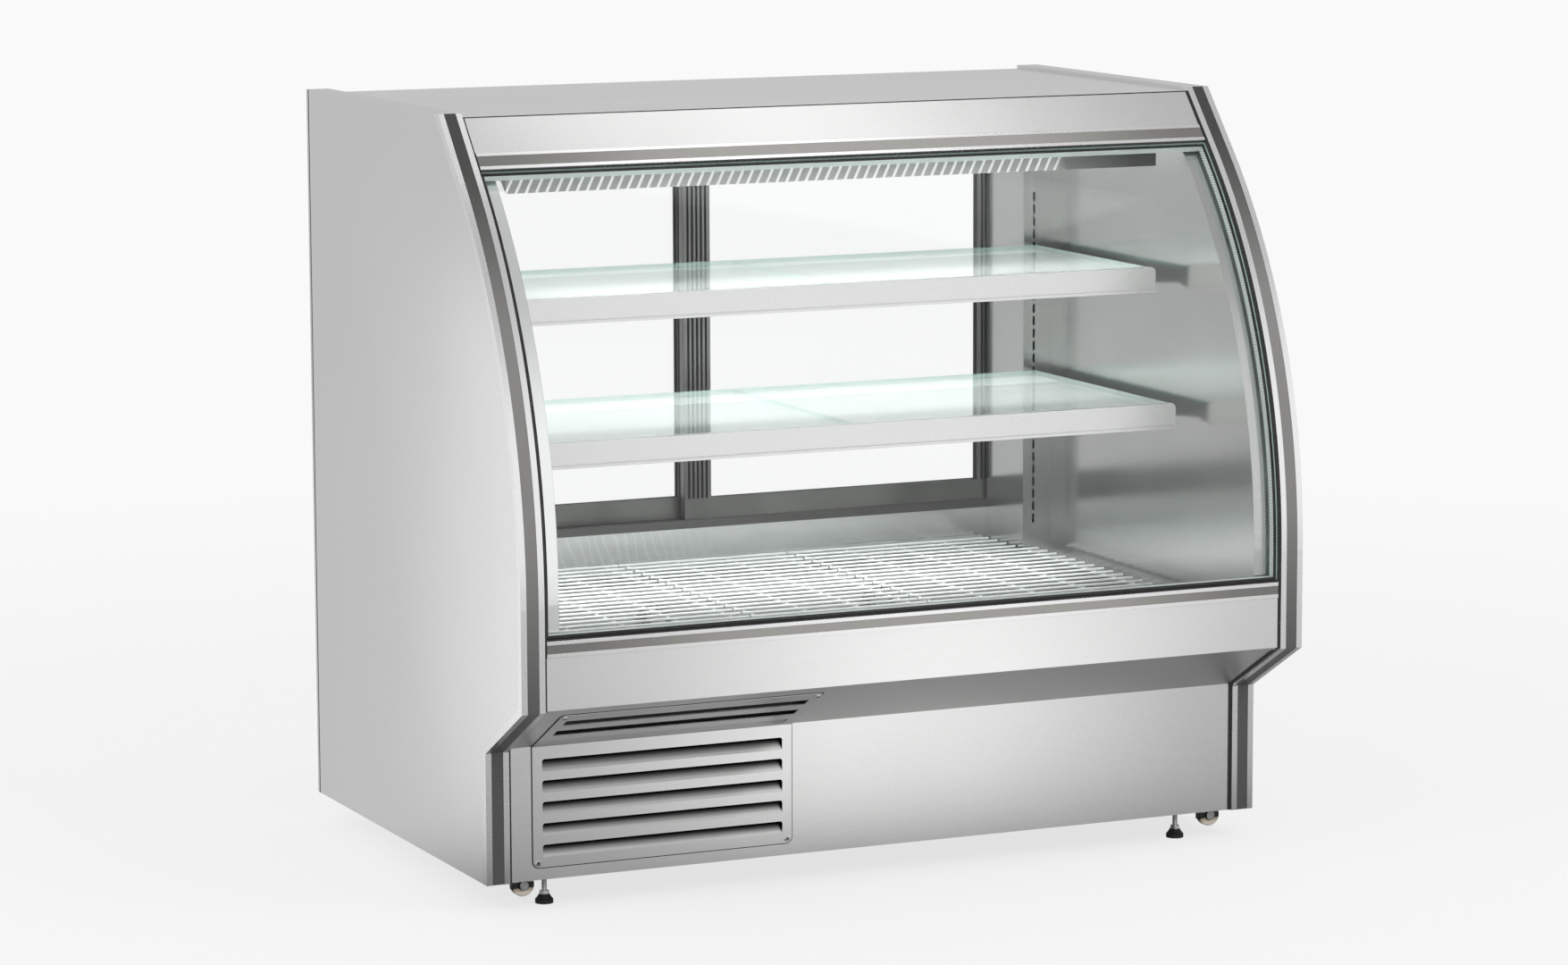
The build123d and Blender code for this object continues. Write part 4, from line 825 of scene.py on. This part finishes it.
def make_world():
    """White behind the part, a calm sky for its light and a shaped one for what metal mirrors"""
    world = bpy.data.worlds.new("studio")
    world.use_nodes = True
    scene.world = world
    tree = world.node_tree
    tree.nodes.clear()
    output = add_node(tree, "ShaderNodeOutputWorld")
    path = add_node(tree, "ShaderNodeLightPath").outputs
    direction = parts_of(tree, add_node(tree, "ShaderNodeTexCoord").outputs["Generated"])
    around = spread(tree, direction["Y"], 0.5, -0.5, MIRRORED_REAR, MIRRORED_FRONT)
    overhead = spread(tree, direction["Z"], 0.35, 0.8, smooth=True)
    ambient = add_node(tree, "ShaderNodeBackground")
    fill(tree, ambient, Color=(0.98, 0.99, 1.0), Strength=AMBIENT)
    backdrop = add_node(tree, "ShaderNodeBackground")
    fill(tree, backdrop, Color=(1, 1, 1), Strength=BACKDROP)
    gloss = add_node(tree, "ShaderNodeBackground")
    fill(tree, gloss, Color=mix_colour(tree, overhead, around, MIRRORED_ABOVE), Strength=1.0)
    lit = mix_shader(tree, path["Is Glossy Ray"], ambient.outputs[0], gloss.outputs[0])
    shown = mix_shader(tree, seen_directly(tree, path), lit, backdrop.outputs[0])
    tree.links.new(shown, output.inputs["Surface"])


def mirrored_floor(tree, distance):
    """Level of the floor in what metal mirrors: a painted shadow under the part, grey behind it, and in front
    of it dim with a soft painted band of light that runs outwards, before it reaches the level of the world"""
    place = place_parts(tree)
    aside = value_math(tree, "ADD", place["X"], BAND_SHIFT)
    aside = value_math(tree, "MULTIPLY_ADD", place["Y"], BAND_SLOPE, aside)
    # Painted band of light on the floor, seen only in what metal mirrors
    painted_band = spread(tree, size_of(tree, aside), 0.05, 0.75, 1.0, 0.0, smooth=True)
    near = spread(tree, painted_band, 0.0, 1.0, BAND_DARK, PAINTED_BAND_BRIGHT)
    front = mix_colour(tree, spread(tree, distance, 2.8, 4.6, smooth=True), near, MIRRORED_FRONT)
    beside = spread(tree, size_of(tree, place["X"]), 0.75, 1.1)
    clear = largest(tree, spread(tree, size_of(tree, place["Y"]), 0.52, 0.75), beside)
    # Painted shadow: near black under the part in what metal mirrors
    front = mix_colour(tree, clear, MIRRORED_PAINTED_SHADOW, front)
    forward = spread(tree, place["Y"], 0.4, -0.4, smooth=True)
    return mix_colour(tree, forward, MIRRORED_REAR, front)


def floor_material():
    """Pale floor that keeps a soft shadow near the part and fades into the white background"""
    material, tree, output = new_material("studio_floor")
    path = add_node(tree, "ShaderNodeLightPath").outputs
    length = add_node(tree, "ShaderNodeVectorMath", operation="LENGTH")
    distance = fill(tree, length, n0=scaled_place(tree)).outputs["Value"]
    pale = add_node(tree, "ShaderNodeBsdfDiffuse")
    fill(tree, pale, Color=mix_colour(tree, noise(tree, 6.0), (0.83, 0.83, 0.83), (0.85, 0.85, 0.85)))
    white = add_node(tree, "ShaderNodeEmission")
    fill(tree, white, Color=(1, 1, 1), Strength=BACKDROP)
    mirrored = add_node(tree, "ShaderNodeEmission")
    fill(tree, mirrored, Color=mirrored_floor(tree, distance), Strength=1.0)
    away = spread(tree, distance, 0.7, 4.5, 0.78, 1.0, smooth=True)
    faded = product(tree, away, seen_directly(tree, path))
    plain = mix_shader(tree, faded, pale.outputs[0], white.outputs[0])
    glossy = product(tree, path["Is Glossy Ray"], MIRRORED_SHARE)
    tree.links.new(mix_shader(tree, glossy, plain, mirrored.outputs[0]), output.inputs["Surface"])
    return material


def make_floor():
    mesh = bpy.data.meshes.new("studio_floor")
    form = bmesh.new()
    bmesh.ops.create_circle(form, cap_ends=True, segments=96, radius=FLOOR_RADIUS)
    form.to_mesh(mesh)
    form.free()
    floor = bpy.data.objects.new("studio_floor", mesh)
    floor.data.materials.append(floor_material())
    scene.collection.objects.link(floor)


def area_lamp(name, place, target, width, height, power):
    data = bpy.data.lights.new(name, "AREA")
    data.shape = "RECTANGLE"
    data.size = width
    data.size_y = height
    data.energy = power
    lamp = bpy.data.objects.new(name, data)
    aim = (Vector(target) - Vector(place)).to_track_quat("-Z", "Y")
    lamp.matrix_world = Matrix.Translation(Vector(place)) @ aim.to_matrix().to_4x4()
    scene.collection.objects.link(lamp)
    return lamp


def mirrored_card(name, place, target, width, height, power):
    """Lamp that shows only in what metal mirrors"""
    card = area_lamp(name, place, target, width, height, power)
    card.visible_camera = False
    card.visible_diffuse = False
    card.visible_transmission = False


def make_lamps():
    """Two broad soft lamps, a card for the sloping fascia and one for the left end, the strip in the canopy,
    and a soft lamp below each shelf"""
    middle = (0, 0, 0.6)
    key = area_lamp("key_lamp", (2.2, -3.6, 3.4), middle, 2.6, 2.4, 70.0)
    key.visible_glossy = False
    soft = area_lamp("fill_lamp", (-3.6, -1.0, 2.6), middle, 2.2, 2.2, 40.0)
    soft.visible_glossy = False
    low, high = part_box("canopy_fascia")
    fascia = (low + high) / 2
    mirrored_card("fascia_card", (0.551, fascia.y - 0.404, fascia.z + 1.405), fascia, 0.42, 1.4, 2.3)
    mirrored_card("side_card", (-1.15, 0.2, 0.45), (-0.66, -0.35, 0.45), 0.4, 0.9, 0.7)
    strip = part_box("led_light")[0]
    case_lamp = area_lamp("case_lamp", (0, strip.y + 0.02, strip.z - 0.006), (0, strip.y + 0.62, 0),
                          1.05, 0.03, 1.7)
    case_lamp.data.spread = math.radians(96)
    case_lamp.visible_camera = False
    low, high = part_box("shelf_glass")
    for name, z, power in (("shelf_lamp", high.z - 0.05, 1.35), ("rack_lamp", low.z - 0.03, 1.7)):
        lamp = area_lamp(name, (0, 0.02, z), (0, 0.02 + z * 0.4, 0), 1.05, 0.36, power)
        lamp.data.spread = math.radians(80)
        lamp.visible_camera = False
        lamp.visible_glossy = False


make_camera()
make_world()
make_floor()
make_lamps()
dress_nodes()
make_diffuser()
make_grille_gap_shade()
make_screw_details()
